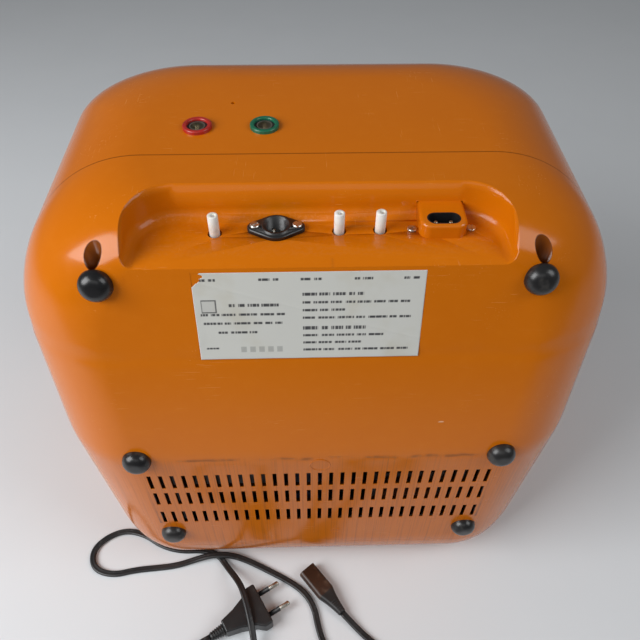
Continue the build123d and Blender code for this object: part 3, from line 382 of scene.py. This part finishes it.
# The plug is moulded on the cord in soft black plastic, with ribs round its tail that let it bend.
# Its pins are plated, sleeved for half their length.
def moulded_black(name, colour, second, roughness, grain=0.9):
    """Soft moulded plastic or rubber: matt grain, pale scuffs and a little dust."""
    finish = Finish(name)
    scuffs = finish.noise(0.12, 5.0).rising(0.56, 0.72)
    dust = finish.noise(0.02, 3.0).rising(0.4, 0.7)
    tone = finish.blend(scuffs * 0.5 + dust * 0.3, colour, second)
    return finish.shade(tone, roughness + scuffs * 0.12 + dust * 0.08, finish.noise(grain, 3.0), 0.00002)


plug_black = moulded_black("plug_black", (0.014, 0.014, 0.015, 1), (0.055, 0.053, 0.05, 1), 0.36)
mains_plug = shown("mains_plug", plug_black, 40)

pins = Finish("plug_pins")
along = pins.along(plug_way)
bare = (along - 1000 * plug_face.dot(plug_way)).rising(9.8, 10.2)
worn = pins.noise(0.8, 4.0).rising(0.4, 0.7)
metal = pins.blend(worn, (0.62, 0.60, 0.55, 1), (0.42, 0.37, 0.30, 1))
colour = pins.blend(bare, (0.016, 0.016, 0.017, 1), metal)
plug_pins = shown("plug_pins", pins.shade(colour, 0.42 - bare * 0.15 + worn * 0.1, metallic=bare), 40)

connector = Finish("cord_connector")
along = connector.along(connector_way)
boot = (along - 1000 * connector_end.dot(connector_way)).rising(-20.5, -19.5)
worn = connector.noise(0.15, 5.0).rising(0.5, 0.75)
head = connector.blend(worn, (0.038, 0.017, 0.010, 1), (0.10, 0.055, 0.033, 1))
colour = connector.blend(boot, head, (0.014, 0.013, 0.013, 1))
connector_finish = connector.shade(colour, 0.42 + worn * 0.15, connector.noise(0.8), 0.00003)
cord_connector = shown("cord_connector", connector_finish, 40)


def ribs_round(name, start, way, gap, count, first, last, height, slimness, material):
    """Rings along a tail, made by nodes: sizes run evenly from first to last."""
    tree = bpy.data.node_groups.new(name, "GeometryNodeTree")
    face = tree.interface
    face.new_socket("Geometry", in_out="OUTPUT", socket_type="NodeSocketGeometry")
    numbers = {}
    for label, value in (("Ribs", count), ("Gap", gap), ("First", first), ("Last", last), ("Rib", height)):
        kind = "NodeSocketInt" if label == "Ribs" else "NodeSocketFloat"
        numbers[label] = (face.new_socket(label, in_out="INPUT", socket_type=kind), value)

    def put(kind, settings=None, values=None):
        node = tree.nodes.new(kind)
        for key, value in (settings or {}).items():
            setattr(node, key, value)
        for key, value in (values or {}).items():
            if isinstance(value, bpy.types.NodeSocket):
                tree.links.new(value, node.inputs[key])
            else:
                node.inputs[key].default_value = value
        return node

    given = put("NodeGroupInput")
    line = put("GeometryNodeMeshLine", {}, {"Count": given.outputs["Ribs"]})
    offset = put("ShaderNodeCombineXYZ", {}, {"Z": given.outputs["Gap"]})
    tree.links.new(offset.outputs[0], line.inputs["Offset"])
    ring = put("GeometryNodeCurvePrimitiveCircle", {"mode": "RADIUS"}, {"Resolution": 32, "Radius": 1.0})
    order = put("GeometryNodeInputIndex")
    span = put("ShaderNodeMath", {"operation": "SUBTRACT"}, {0: given.outputs["Ribs"], 1: 1.0})
    share = put("ShaderNodeMath", {"operation": "DIVIDE"}, {0: order.outputs[0], 1: span.outputs[0]})
    grade = put("ShaderNodeMapRange", {}, {"Value": share.outputs[0]})
    tree.links.new(given.outputs["First"], grade.inputs["To Min"])
    tree.links.new(given.outputs["Last"], grade.inputs["To Max"])
    places = {"Points": line.outputs[0], "Instance": ring.outputs[0]}
    set_out = put("GeometryNodeInstanceOnPoints", {}, places)
    tree.links.new(grade.outputs[0], set_out.inputs["Scale"])
    real = put("GeometryNodeRealizeInstances", {}, {"Geometry": set_out.outputs[0]})
    section = put("GeometryNodeCurvePrimitiveCircle", {"mode": "RADIUS"}, {"Resolution": 10})
    tree.links.new(given.outputs["Rib"], section.inputs["Radius"])
    body = put("GeometryNodeCurveToMesh", {}, {"Curve": real.outputs[0], "Profile Curve": section.outputs[0]})
    smooth = put("GeometryNodeSetShadeSmooth", {}, {"Geometry": body.outputs[0]})
    solid = put("GeometryNodeRealizeInstances", {}, {"Geometry": smooth.outputs[0]})
    coat = put("GeometryNodeSetMaterial", {}, {"Geometry": solid.outputs[0], "Material": material})
    result = put("NodeGroupOutput")
    tree.links.new(coat.outputs[0], result.inputs[0])
    holder = bpy.data.objects.new(name, bpy.data.meshes.new(name))
    bpy.context.collection.objects.link(holder)
    nodes = holder.modifiers.new("ribs", "NODES")
    nodes.node_group = tree
    for socket, value in numbers.values():
        nodes[socket.identifier] = value
    ready = holder.evaluated_get(bpy.context.evaluated_depsgraph_get())
    mesh = bpy.data.meshes.new_from_object(ready)
    holder.modifiers.remove(nodes)
    holder.data = mesh
    turn = Vector(way).to_track_quat("Z", "Y").to_matrix()
    turn = turn @ Matrix.Diagonal((1.0, slimness, 1.0))
    mesh.transform(Matrix.Translation(Vector(start)) @ turn.to_4x4())
    if not mesh.materials:
        mesh.materials.append(material)
    return holder


plug_tail = plug_end + 0.0015 * plug_way
plug_ribs = ribs_round("plug_ribs", plug_tail, plug_way, 0.0019, 6, 0.0033, 0.0043, 0.00055, 1.0, plug_black)
boot_black = moulded_black("boot_black", (0.013, 0.012, 0.012, 1), (0.05, 0.046, 0.042, 1), 0.4)
boot_tail = connector_end - 0.0015 * connector_way
connector_ribs = ribs_round(
    "connector_ribs", boot_tail, -connector_way, 0.0019, 6, 0.0031, 0.0044, 0.0005, 0.93, boot_black
)
for ribs in (plug_ribs, connector_ribs):
    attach(ribs, "set")

# The case: a cover with the front frame, top and sides, and a tray with the underside and back.
# Both are thick injection mouldings in glossy orange plastic; a fine seam runs between them.
case_half_width = 0.171
case_flare = 0.062
case_depth = 0.345
case_low = -0.138
case_high = 0.145
case_corner = 0.058
front_round, front_reach = 0.026, 0.052
shoulder_round, top_round = 0.086, 0.090
lip_in, lip_reach = 0.020, 0.023
bend_at, bend_reach, panel_slope = 0.178, 0.008, 0.2185


def drop(size, share):
    """How far a quarter ellipse has fallen away at a share of its run."""
    return size * (1 - np.sqrt(np.maximum(0, 1 - share**2)))


def outside_case(points):
    """Distance of points outside the case's section at their height, in metres."""
    x, y, z = points.T
    past = z - (bend_at - bend_reach)
    bent = panel_slope * past**2 / (4 * bend_reach)
    sloping = np.where(past < 2 * bend_reach, bent, panel_slope * (z - bend_at))
    low = case_low + np.where(past <= 0, 0, sloping)
    front = drop(front_round, np.clip((front_reach - z) / front_reach, 0, 1))
    dome = np.clip((z - case_depth + top_round) / top_round, 0, 1)
    half = case_half_width + case_flare * (z - front_reach) - front - drop(shoulder_round, dome)
    low = low + front + drop(lip_in, np.clip((z - case_depth + lip_reach) / lip_reach, 0, 1))
    high = case_high - front - drop(top_round, dome)
    corner = case_corner - front
    beyond_x = np.abs(x) - half + corner
    beyond_y = np.abs(y - (low + high) / 2) - (high - low) / 2 + corner
    outer = np.hypot(np.maximum(beyond_x, 0), np.maximum(beyond_y, 0))
    return outer + np.minimum(np.maximum(beyond_x, beyond_y), 0) - corner


def moulded_normals(piece):
    """Gives the outer face the exact smooth normals of the moulding, and keeps the rest."""
    mesh = piece.data
    count = len(mesh.vertices)
    places = np.zeros(count * 3)
    mesh.vertices.foreach_get("co", places)
    places = places.reshape(-1, 3)
    slopes = np.zeros((count, 3))
    small = 0.00004
    for axis in range(3):
        before, after = places.copy(), places.copy()
        before[:, axis] -= small
        after[:, axis] += small
        if axis == 2:
            after[:, 2] = np.minimum(after[:, 2], case_depth - 1e-7)
            before[:, 2] = np.maximum(before[:, 2], 1e-7)
            before[:, 2] = np.minimum(before[:, 2], after[:, 2] - small)
        slopes[:, axis] = (outside_case(after) - outside_case(before)) / (after - before)[:, axis]
    slopes /= np.linalg.norm(slopes, axis=1)[:, None]
    near = np.abs(outside_case(places)) < 0.00025
    normals = np.zeros(len(mesh.loops) * 3)
    mesh.corner_normals.foreach_get("vector", normals)
    normals = normals.reshape(-1, 3)
    top = places[:, 2] > case_depth - 0.00004
    for face in mesh.polygons:
        flat = np.array(face.normal)
        if top[list(face.vertices)].all():
            normals[list(face.loop_indices)] = flat
            continue
        for loop, vertex in zip(face.loop_indices, face.vertices):
            if near[vertex] and slopes[vertex] @ flat > 0.8:
                normals[loop] = slopes[vertex]
    mesh.normals_split_custom_set([tuple(normal) for normal in normals])


def orange_moulding():
    """Glossy orange plastic: flow marks and fine scratches, with painted reflections streaked on the vent
    panel between the slots, a painted dark reflection along the bend and one by the ledge, and painted shade
    along the seam, in the screw wells and in the vent slots.
    """
    finish = Finish("orange_moulding")
    x, y, z = finish.axes()
    cloud = finish.noise(0.012, 3.0)
    mottle = finish.noise(0.12, 4.0)
    colour = finish.blend(cloud, (0.62, 0.158, 0.002, 1), (0.56, 0.135, 0.001, 1))
    colour = finish.blend((mottle - 0.5) * 0.5, colour, (0.66, 0.19, 0.008, 1))
    streaks = finish.noise(1.0, 3.0, finish.stretched(0.9, 0.03, 0.012))
    hairs = finish.noise(1.0, 2.0, finish.stretched(0.05, 1.6, 1.6)).rising(0.66, 0.72)
    cross = finish.noise(1.0, 2.0, finish.stretched(1.5, 0.04, 1.1)).rising(0.68, 0.74)
    wear = finish.noise(0.03, 4.0).rising(0.48, 0.66)
    scratches = (hairs + cross).least(1.0) * wear
    vent_panel = z.rising(183, 172) * y.rising(-122, -132)
    # painted reflection: dark brown streaks on the vent panel between the slots stand for the cord and floor
    # mirrored in it
    streak_reflections = streaks.rising(0.45, 0.75) * vent_panel
    colour = finish.blend(streak_reflections * 0.6, colour, (0.33, 0.085, 0.004, 1))
    # painted reflection: a dark band along the bend, where the glossy panel mirrors the floor's shade
    edge = (z - 177.5 + (finish.noise(0.05, 3.0) - 0.5) * 5.0).size().rising(2.2, 0.4) * y.rising(-120, -130)
    bend_reflection = edge * finish.noise(0.09, 3.0).rising(0.42, 0.6) * x.size().rising(118, 96)
    colour = finish.blend(bend_reflection * 0.55, colour, (0.16, 0.05, 0.01, 1))
    ledge = z.rising(320, 324) * z.rising(329, 325) * y.rising(-99, -95) * y.rising(-60, -64)
    dust = ledge * x.size().rising(101, 97) * finish.noise(0.5, 5.0).rising(0.42, 0.62)
    colour = finish.blend(dust * 0.04, colour, (0.62, 0.36, 0.16, 1))
    nick_x = (x - 77.6 - (z - 209) * 0.6) * 0.45
    nick_z = (z - 209) * 1.6 + nick_x * nick_x * 0.5
    nick = (nick_x * nick_x + nick_z * nick_z).rising(1.0, 0.3) * y.rising(-125, -128)
    colour = finish.blend(nick * 0.7, colour, (0.85, 0.62, 0.42, 1))
    # painted reflection: a dark patch by the ledge, the plug mirrored in the glossy panel
    ledge_reflection = ((x - 6.7).size() * 0.5 + (z - 324.6).size()).rising(3.0, 1.0) * y.rising(-97, -101)
    colour = finish.blend(ledge_reflection * 0.45, colour, (0.22, 0.07, 0.012, 1))
    colour = finish.blend(scratches * 0.22, colour, (0.86, 0.42, 0.13, 1))
    # painted shade: a dark line along the seam between cover and tray, for the shade in the gap
    seam = (y + 33.5 + (345.0 - z) * 0.262).size().rising(0.75, 0.2) * z.rising(60, 66)
    colour = finish.blend(seam * 0.6, colour, (0.10, 0.028, 0.004, 1))
    # painted shade: the screw wells by the feet are darkened inside, for their deep shadow
    well_x = x.size() - 120.8
    well_shade = (well_x * well_x + (y + 98.5) * (y + 98.5)).rising(31.5, 30.0) * z.rising(255, 256)
    colour = finish.blend(well_shade * 0.8, colour, (0.09, 0.020, 0.003, 1))
    # painted shade: the insides of the vent slots are painted near black, for the shade in them
    slots = y.rising(-137.9, -137.3) * y.rising(-131, -132) * z.rising(84, 85) * z.rising(161, 160)
    slots = slots * x.size().rising(123, 122)
    colour = finish.blend(slots * 0.93, colour, (0.012, 0.006, 0.003, 1))
    rough = 0.13 + mottle * 0.08 + scratches * 0.18 + dust * 0.12 + bend_reflection * 0.3 + streak_reflections * 0.08 + nick * 0.3
    height = finish.noise(0.16, 2.0) * 0.5 + finish.noise(0.9, 2.0) * 0.12 - scratches * 0.25
    gloss = {"Coat Roughness": 0.06, "IOR": 1.46, "Specular IOR Level": 0.3}
    return finish.shade(colour, rough, height, 0.00006, coat=0.04, more=gloss)


orange = orange_moulding()
for node in ("base_tray", "cabinet_cover"):
    moulded_normals(shown(node, orange, 38))


# Two round mould marks stand a hair proud of the vent panel.
for name, mark_x, mark_z, mark_radius in (
    ("mould_mark_upper", 0.0, 0.169, 0.0068),
    ("mould_mark_lower", 0.0126, 0.065, 0.0034),
):
    sculpt = bmesh.new()
    rings = []
    for spot in range(48):
        angle = math.tau * spot / 48
        out = Vector((math.cos(angle), 0, math.sin(angle)))
        ring = []
        for corner in range(8):
            around = math.tau * corner / 8
            reach = mark_radius + 0.00035 * math.cos(around)
            middle = Vector((mark_x, case_low - 0.00022 * math.sin(around), mark_z))
            ring.append(sculpt.verts.new(middle + reach * out))
        rings.append(ring)
    for ring, following in zip(rings, rings[1:] + rings[:1]):
        for spot in range(8):
            beside = (spot + 1) % 8
            sculpt.faces.new((ring[spot], ring[beside], following[beside], following[spot]))
    bmesh.ops.recalc_face_normals(sculpt, faces=sculpt.faces)
    mesh = bpy.data.meshes.new(name)
    sculpt.to_mesh(mesh)
    sculpt.free()
    mesh.shade_smooth()
    mesh.materials.append(orange)
    mark = bpy.data.objects.new(name, mesh)
    bpy.context.collection.objects.link(mark)
    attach(mark, "set")

# Six round feet, soft black rubber with a polished dome, pushed into the tray.
foot_rubber = moulded_black("foot_rubber", (0.010, 0.010, 0.011, 1), (0.05, 0.046, 0.042, 1), 0.27)
for node in ("front_feet", "middle_feet", "rear_feet"):
    shown(node, foot_rubber, 50)


def plated(name, bright, dull, roughness, brush=(1.0, 1.0, 1.0)):
    """Plated or drawn metal: fine brushing, dull patches and a little tarnish in them."""
    finish = Finish(name)
    patches = finish.noise(0.07, 4.0).rising(0.42, 0.68)
    lines = finish.noise(1.2, 3.0, finish.stretched(*brush))
    colour = finish.blend(patches, bright, dull)
    rough = roughness + patches * 0.16 + lines * 0.1
    return finish.shade(colour, rough, lines, 0.00001, metallic=1.0)


screw_steel = plated("screw_steel", (0.66, 0.65, 0.62, 1), (0.34, 0.31, 0.27, 1), 0.26)
chassis_steel = plated("chassis_steel", (0.30, 0.30, 0.31, 1), (0.16, 0.15, 0.14, 1), 0.42, (0.06, 1.0, 1.0))
for node in (
    "case_screws",
    "battery_socket_screws",
    "inlet_screws",
    "tube_screws",
    "board_screws",
    "handle_pins",
):
    shown(node, screw_steel, 30, 0.00012)

# The rating label is off-white paper glued below the recess, a little creased, one corner torn.
# Its print is only plain bars and an empty square.
label_low, label_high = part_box("rating_label")
label_wide = label_high.x - label_low.x
label_tilt = math.atan(panel_slope)
label_long = (label_high.z - label_low.z - 0.0001) / math.cos(label_tilt)
label_columns, label_rows = 318, 148
label_up = Vector((0, math.sin(label_tilt), math.cos(label_tilt)))
label_out = Vector((0, -math.cos(label_tilt), math.sin(label_tilt)))
label_middle = Vector(
    ((label_low.x + label_high.x) / 2, (label_low.y + label_high.y) / 2, (label_low.z + label_high.z) / 2)
) + 0.00009 * label_out
words = random.Random(7)
bars = []


def row_of_words(left, right, middle, tall, widest=0.011):
    """One line of print: bars with word gaps, from left to right, in the label's metres."""
    spot = left
    while spot < right - 0.003:
        wide = min(words.uniform(0.003, widest), right - spot)
        bars.append((spot, spot + wide, middle - tall / 2, middle + tall / 2))
        spot += wide + 0.0014


top_row = label_long / 2 - 0.0046
for left, right in (
    (-0.0605, -0.0505),
    (-0.0275, -0.0150),
    (-0.0045, 0.0070),
    (0.0245, 0.0350),
    (0.0515, 0.0600),
):
    row_of_words(left, right, top_row, 0.0014, 0.008)
for number, (left, right, tall) in enumerate(
    (
        (-0.0445, -0.0165, 0.0019),
        (-0.0605, -0.0140, 0.0015),
        (-0.0600, -0.0150, 0.0015),
        (-0.0520, -0.0260, 0.0015),
    )
):
    row_of_words(left, right, 0.0085 - 0.0062 * number, tall)
row_of_words(-0.0600, -0.0490, -0.0215, 0.0010)
for number, (left, right, tall) in enumerate(
    (
        (-0.0040, 0.0335, 0.0021),
        (-0.0040, 0.0560, 0.0014),
        (-0.0040, 0.0240, 0.0014),
        (-0.0040, 0.0590, 0.0014),
        (-0.0040, 0.0320, 0.0021),
        (-0.0040, 0.0440, 0.0014),
        (-0.0040, 0.0300, 0.0014),
        (-0.0040, 0.0570, 0.0014),
    )
):
    row_of_words(left, right, 0.0150 - 0.0052 * number - (0.002 if number > 3 else 0), tall)
faint = [(-0.0400 + 0.0052 * digit, -0.0366 + 0.0052 * digit, -0.0245, -0.0205) for digit in range(5)]
square = (-0.0600, -0.0515, 0.0035, 0.0120)


def printed(across, up):
    """How much ink lies at one place of the label."""
    ink = 0.0
    for left, right, low, high in bars:
        if left < across < right and low < up < high:
            letter = math.sin(across * 5200) * 0.5 + math.sin(across * 3300 + 1.3) * 0.5
            ink = 1.0 if letter > -0.45 else 0.25
    for left, right, low, high in faint:
        if left < across < right and low < up < high:
            ink = max(ink, 0.35)
    left, right, low, high = square
    if left < across < right and low < up < high:
        edge = min(across - left, right - across, up - low, high - up)
        ink = 0.9 if edge < 0.0007 else 0.12
    return ink


def label_lift(across, up):
    """Creases and one lifting edge, in metres above the panel."""
    lift = 0.00005 * (1 + math.sin(across * 240 + up * 90)) * (0.5 + 0.5 * math.sin(up * 170 + 1))
    crease = abs(across * 0.32 + up - 0.004)
    lift += 0.00012 * math.exp(-((crease / 0.0011) ** 2))
    lift += 0.00025 * math.exp(-(((across + label_wide / 2) / 0.004) ** 2)) * (0.6 + 0.4 * math.sin(up * 300))
    return lift


sculpt = bmesh.new()
ink_layer = sculpt.verts.layers.float.new("ink")
grid = []
for row in range(label_rows + 1):
    up = (row / label_rows - 0.5) * label_long
    line_of_points = []
    for column in range(label_columns + 1):
        across = (column / label_columns - 0.5) * label_wide
        from_side = across + label_wide / 2
        ragged = 0.0052 + 0.0012 * math.sin(up * 1900)
        torn = from_side < ragged and label_long / 2 - up < 0.0085 - 0.9 * from_side
        point = None
        if not torn:
            place = label_middle + Vector((across, 0, 0)) + up * label_up + label_lift(across, up) * label_out
            point = sculpt.verts.new(place)
            point[ink_layer] = printed(across, up)
        line_of_points.append(point)
    grid.append(line_of_points)
for lower, upper in zip(grid, grid[1:]):
    for column in range(label_columns):
        corners = [lower[column], lower[column + 1], upper[column + 1], upper[column]]
        if all(corners):
            sculpt.faces.new(corners)
for point in [point for point in sculpt.verts if not point.link_faces]:
    sculpt.verts.remove(point)
mesh = bpy.data.meshes.new("label_sheet")
sculpt.to_mesh(mesh)
sculpt.free()
mesh.shade_smooth()
paper = Finish("label_paper")
ink = paper.add("Attribute", {"attribute_name": "ink", "attribute_type": "GEOMETRY"}, {}, 2)
fibre = paper.noise(0.9, 4.0)
stain = paper.noise(0.035, 3.0).rising(0.5, 0.75)
colour = paper.blend(stain * 0.6, (0.60, 0.60, 0.56, 1), (0.52, 0.49, 0.40, 1))
colour = paper.blend((ink * (0.86 + fibre * 0.2)).least(1.0), colour, (0.035, 0.035, 0.04, 1))
mesh.materials.append(paper.shade(colour, 0.5 + stain * 0.15, fibre, 0.00002, coat=0.1))
label_sheet = bpy.data.objects.new("label_sheet", mesh)
bpy.context.collection.objects.link(label_sheet)
body = label_sheet.modifiers.new("thickness", "SOLIDIFY")
body.thickness = 0.00012
body.offset = -1.0
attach(label_sheet, "set")
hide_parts("rating_label")

# In the recess: three white nylon trim shafts, a black battery socket screwed to the ledge,
# and the orange surround of the mains inlet with its black insert.
nylon = Finish("white_nylon")
aged = nylon.noise(0.2, 3.0).rising(0.4, 0.75)
colour = nylon.blend(aged, (0.80, 0.79, 0.75, 1), (0.66, 0.62, 0.53, 1))
milky = {"Subsurface Weight": 0.25, "Subsurface Radius": (0.003, 0.003, 0.002)}
nylon_finish = nylon.shade(colour, 0.42 + aged * 0.12, nylon.noise(1.2, 2.0), 0.00002, more=milky)
for node in ("vertical_hold_shaft", "vertical_size_shaft", "horizontal_hold_shaft"):
    shown(node, nylon_finish, 40)
socket_black = moulded_black("socket_black", (0.011, 0.011, 0.012, 1), (0.045, 0.043, 0.04, 1), 0.3)
for node in ("battery_socket", "inlet_insert", "aerial_bodies", "trim_pots", "yoke_former", "switch_block"):
    shown(node, socket_black, 35)
surround = Finish("surround_orange")
x, y = surround.axes()[:2]
grain = surround.noise(0.12, 4.0)
slot_x = ((x - 69.5).size() - 4.6).most(0.0)
slot = (slot_x * slot_x + (y + 77.5) * (y + 77.5)).rising(26.0, 22.5)
colour = surround.blend(grain, (0.62, 0.158, 0.002, 1), (0.57, 0.138, 0.001, 1))
colour = surround.blend(slot, colour, (0.010, 0.010, 0.011, 1))
rough = 0.16 + grain * 0.1 + slot * 0.2
shown("inlet_surround", surround.shade(colour, rough, surround.noise(0.5), 0.00003), 40)
contact = plated("contact_plating", (0.70, 0.66, 0.56, 1), (0.46, 0.38, 0.26, 1), 0.24)
for node in ("battery_pins", "inlet_pins", "aerial_contacts"):
    shown(node, contact, 35)


# The aerial sockets are ringed in colour, red for one band and green for the other.
def coloured_ring(name, colour, second):
    finish = Finish(name)
    worn = finish.noise(0.5, 4.0).rising(0.45, 0.7)
    tone = finish.blend(worn, colour, second)
    return finish.shade(tone, 0.3 + worn * 0.15, finish.noise(1.5), 0.00001, coat=0.2)


shown("aerial_ring_red", coloured_ring("ring_red", (0.42, 0.018, 0.012, 1), (0.30, 0.02, 0.014, 1)), 35)
shown("aerial_ring_green", coloured_ring("ring_green", (0.008, 0.13, 0.065, 1), (0.01, 0.085, 0.045, 1)), 35)

# The carrying handle folds into the top; it is grained black plastic.
handle_black = moulded_black("handle_black", (0.018, 0.018, 0.019, 1), (0.07, 0.068, 0.065, 1), 0.44, 1.8)
shown("handle", handle_black, 35, 0.0008)

# The front: a dark mask round the screen with the knobs, the buttons and slots for the loudspeaker.
mask_grey = moulded_black("mask_grey", (0.035, 0.035, 0.037, 1), (0.07, 0.07, 0.07, 1), 0.46, 1.4)
shown("front_mask", mask_grey, 35)
knob_black = moulded_black("knob_black", (0.02, 0.02, 0.021, 1), (0.09, 0.088, 0.085, 1), 0.34)
for node in ("tuning_knob", "brightness_knob", "contrast_knob", "volume_knob"):
    shown(node, knob_black, 30)
button_finish = Finish("button_grey")
thumbed = button_finish.noise(0.25, 3.0).rising(0.4, 0.7)
colour = button_finish.blend(thumbed, (0.56, 0.55, 0.51, 1), (0.43, 0.41, 0.36, 1))
button_grey = button_finish.shade(colour, 0.32 + thumbed * 0.15, button_finish.noise(1.0), 0.00001)
for node in ("mains_button", "low_band_button", "high_band_button"):
    shown(node, button_grey, 30)

# The picture tube: grey glass in front, a dark coated funnel behind, its neck clear to the yoke.
glass = Finish("tube_glass")
z = glass.axes()[2]
behind = z.rising(36, 38)
neck = z.rising(186, 189)
smears = glass.noise(0.02, 4.0).rising(0.4, 0.7)
colour = glass.blend(behind, (0.12, 0.135, 0.13, 1), (0.02, 0.02, 0.022, 1))
colour = glass.blend(neck, colour, (0.30, 0.34, 0.33, 1))
rough = 0.06 + smears * 0.06 + behind * 0.5 - neck * 0.46
glass_finish = glass.shade(colour, rough, glass.noise(0.02), 0.00001, coat=0.6, more={"Coat Roughness": 0.03})
shown("picture_tube", glass_finish, 40)
for node in (
    "tube_band",
    "control_pots",
    "chassis_plate",
    "tuner_box",
    "mains_core",
    "speaker_frame",
    "speaker_magnet",
):
    shown(node, chassis_steel, 32, 0.0002)

# Inside: boards of brown laminate, wound copper, sleeved capacitors and a finned heat sink.
laminate = Finish("board_laminate")
fibres = laminate.noise(0.6, 4.0)
cells = laminate.add("TexVoronoi", {"distance": "MANHATTAN"}, {"Vector": laminate.place, "Scale": 0.11})
tracks = cells.rising(0.5, 0.54)
colour = laminate.blend(fibres, (0.22, 0.115, 0.04, 1), (0.30, 0.17, 0.065, 1))
colour = laminate.blend(tracks * 0.6, colour, (0.13, 0.09, 0.03, 1))
laminate_finish = laminate.shade(colour, 0.42 + fibres * 0.15 - tracks * 0.1, tracks, 0.00005)
for node in ("main_board", "trim_board", "tube_socket"):
    shown(node, laminate_finish, 32)

copper = Finish("winding_copper")
across, _, back = copper.axes()
wires = copper.add("Math", {"operation": "PINGPONG"}, {0: across + back, 1: 0.35})
tint = copper.noise(0.15, 3.0)
colour = copper.blend(tint, (0.42, 0.13, 0.045, 1), (0.30, 0.085, 0.03, 1))
# painted shade: the grooves between the turns are darkened
colour = copper.blend(wires.rising(0.12, 0.0) * 0.7, colour, (0.07, 0.02, 0.01, 1))
copper_finish = copper.shade(colour, 0.3 + tint * 0.15, wires * 2.0, 0.0002, metallic=0.6)
for node in ("yoke_coils", "mains_winding"):
    shown(node, copper_finish, 35)
potting = moulded_black("potting_black", (0.02, 0.018, 0.016, 1), (0.06, 0.05, 0.04, 1), 0.5, 0.5)
shown("line_transformer", potting, 35, 0.0006)

sleeve = Finish("capacitor_sleeve")
y = sleeve.axes()[1]
wrinkle = sleeve.noise(0.5, 3.0)
band = y.rising(-101, -100) + y.rising(118.4, 118.8) * y.rising(121, 120.6)
colour = sleeve.blend(wrinkle, (0.012, 0.035, 0.12, 1), (0.02, 0.055, 0.17, 1))
colour = sleeve.blend(band.least(1.0) * 0.5, colour, (0.35, 0.36, 0.38, 1))
sleeve_finish = sleeve.shade(colour, 0.28 + wrinkle * 0.2, wrinkle, 0.00003)
for node in ("board_capacitors", "filter_capacitors"):
    shown(node, sleeve_finish, 40)
aluminium = plated("sink_aluminium", (0.62, 0.62, 0.63, 1), (0.48, 0.48, 0.48, 1), 0.36, (1.0, 1.0, 0.05))
shown("heat_sink", aluminium, 30, 0.0002)

cone = Finish("cone_paper")
pulp = cone.noise(0.7, 5.0)
colour = cone.blend(pulp, (0.028, 0.026, 0.024, 1), (0.055, 0.05, 0.045, 1))
shown("speaker_cone", cone.shade(colour, 0.8 + pulp * 0.1, pulp, 0.0001), 40)
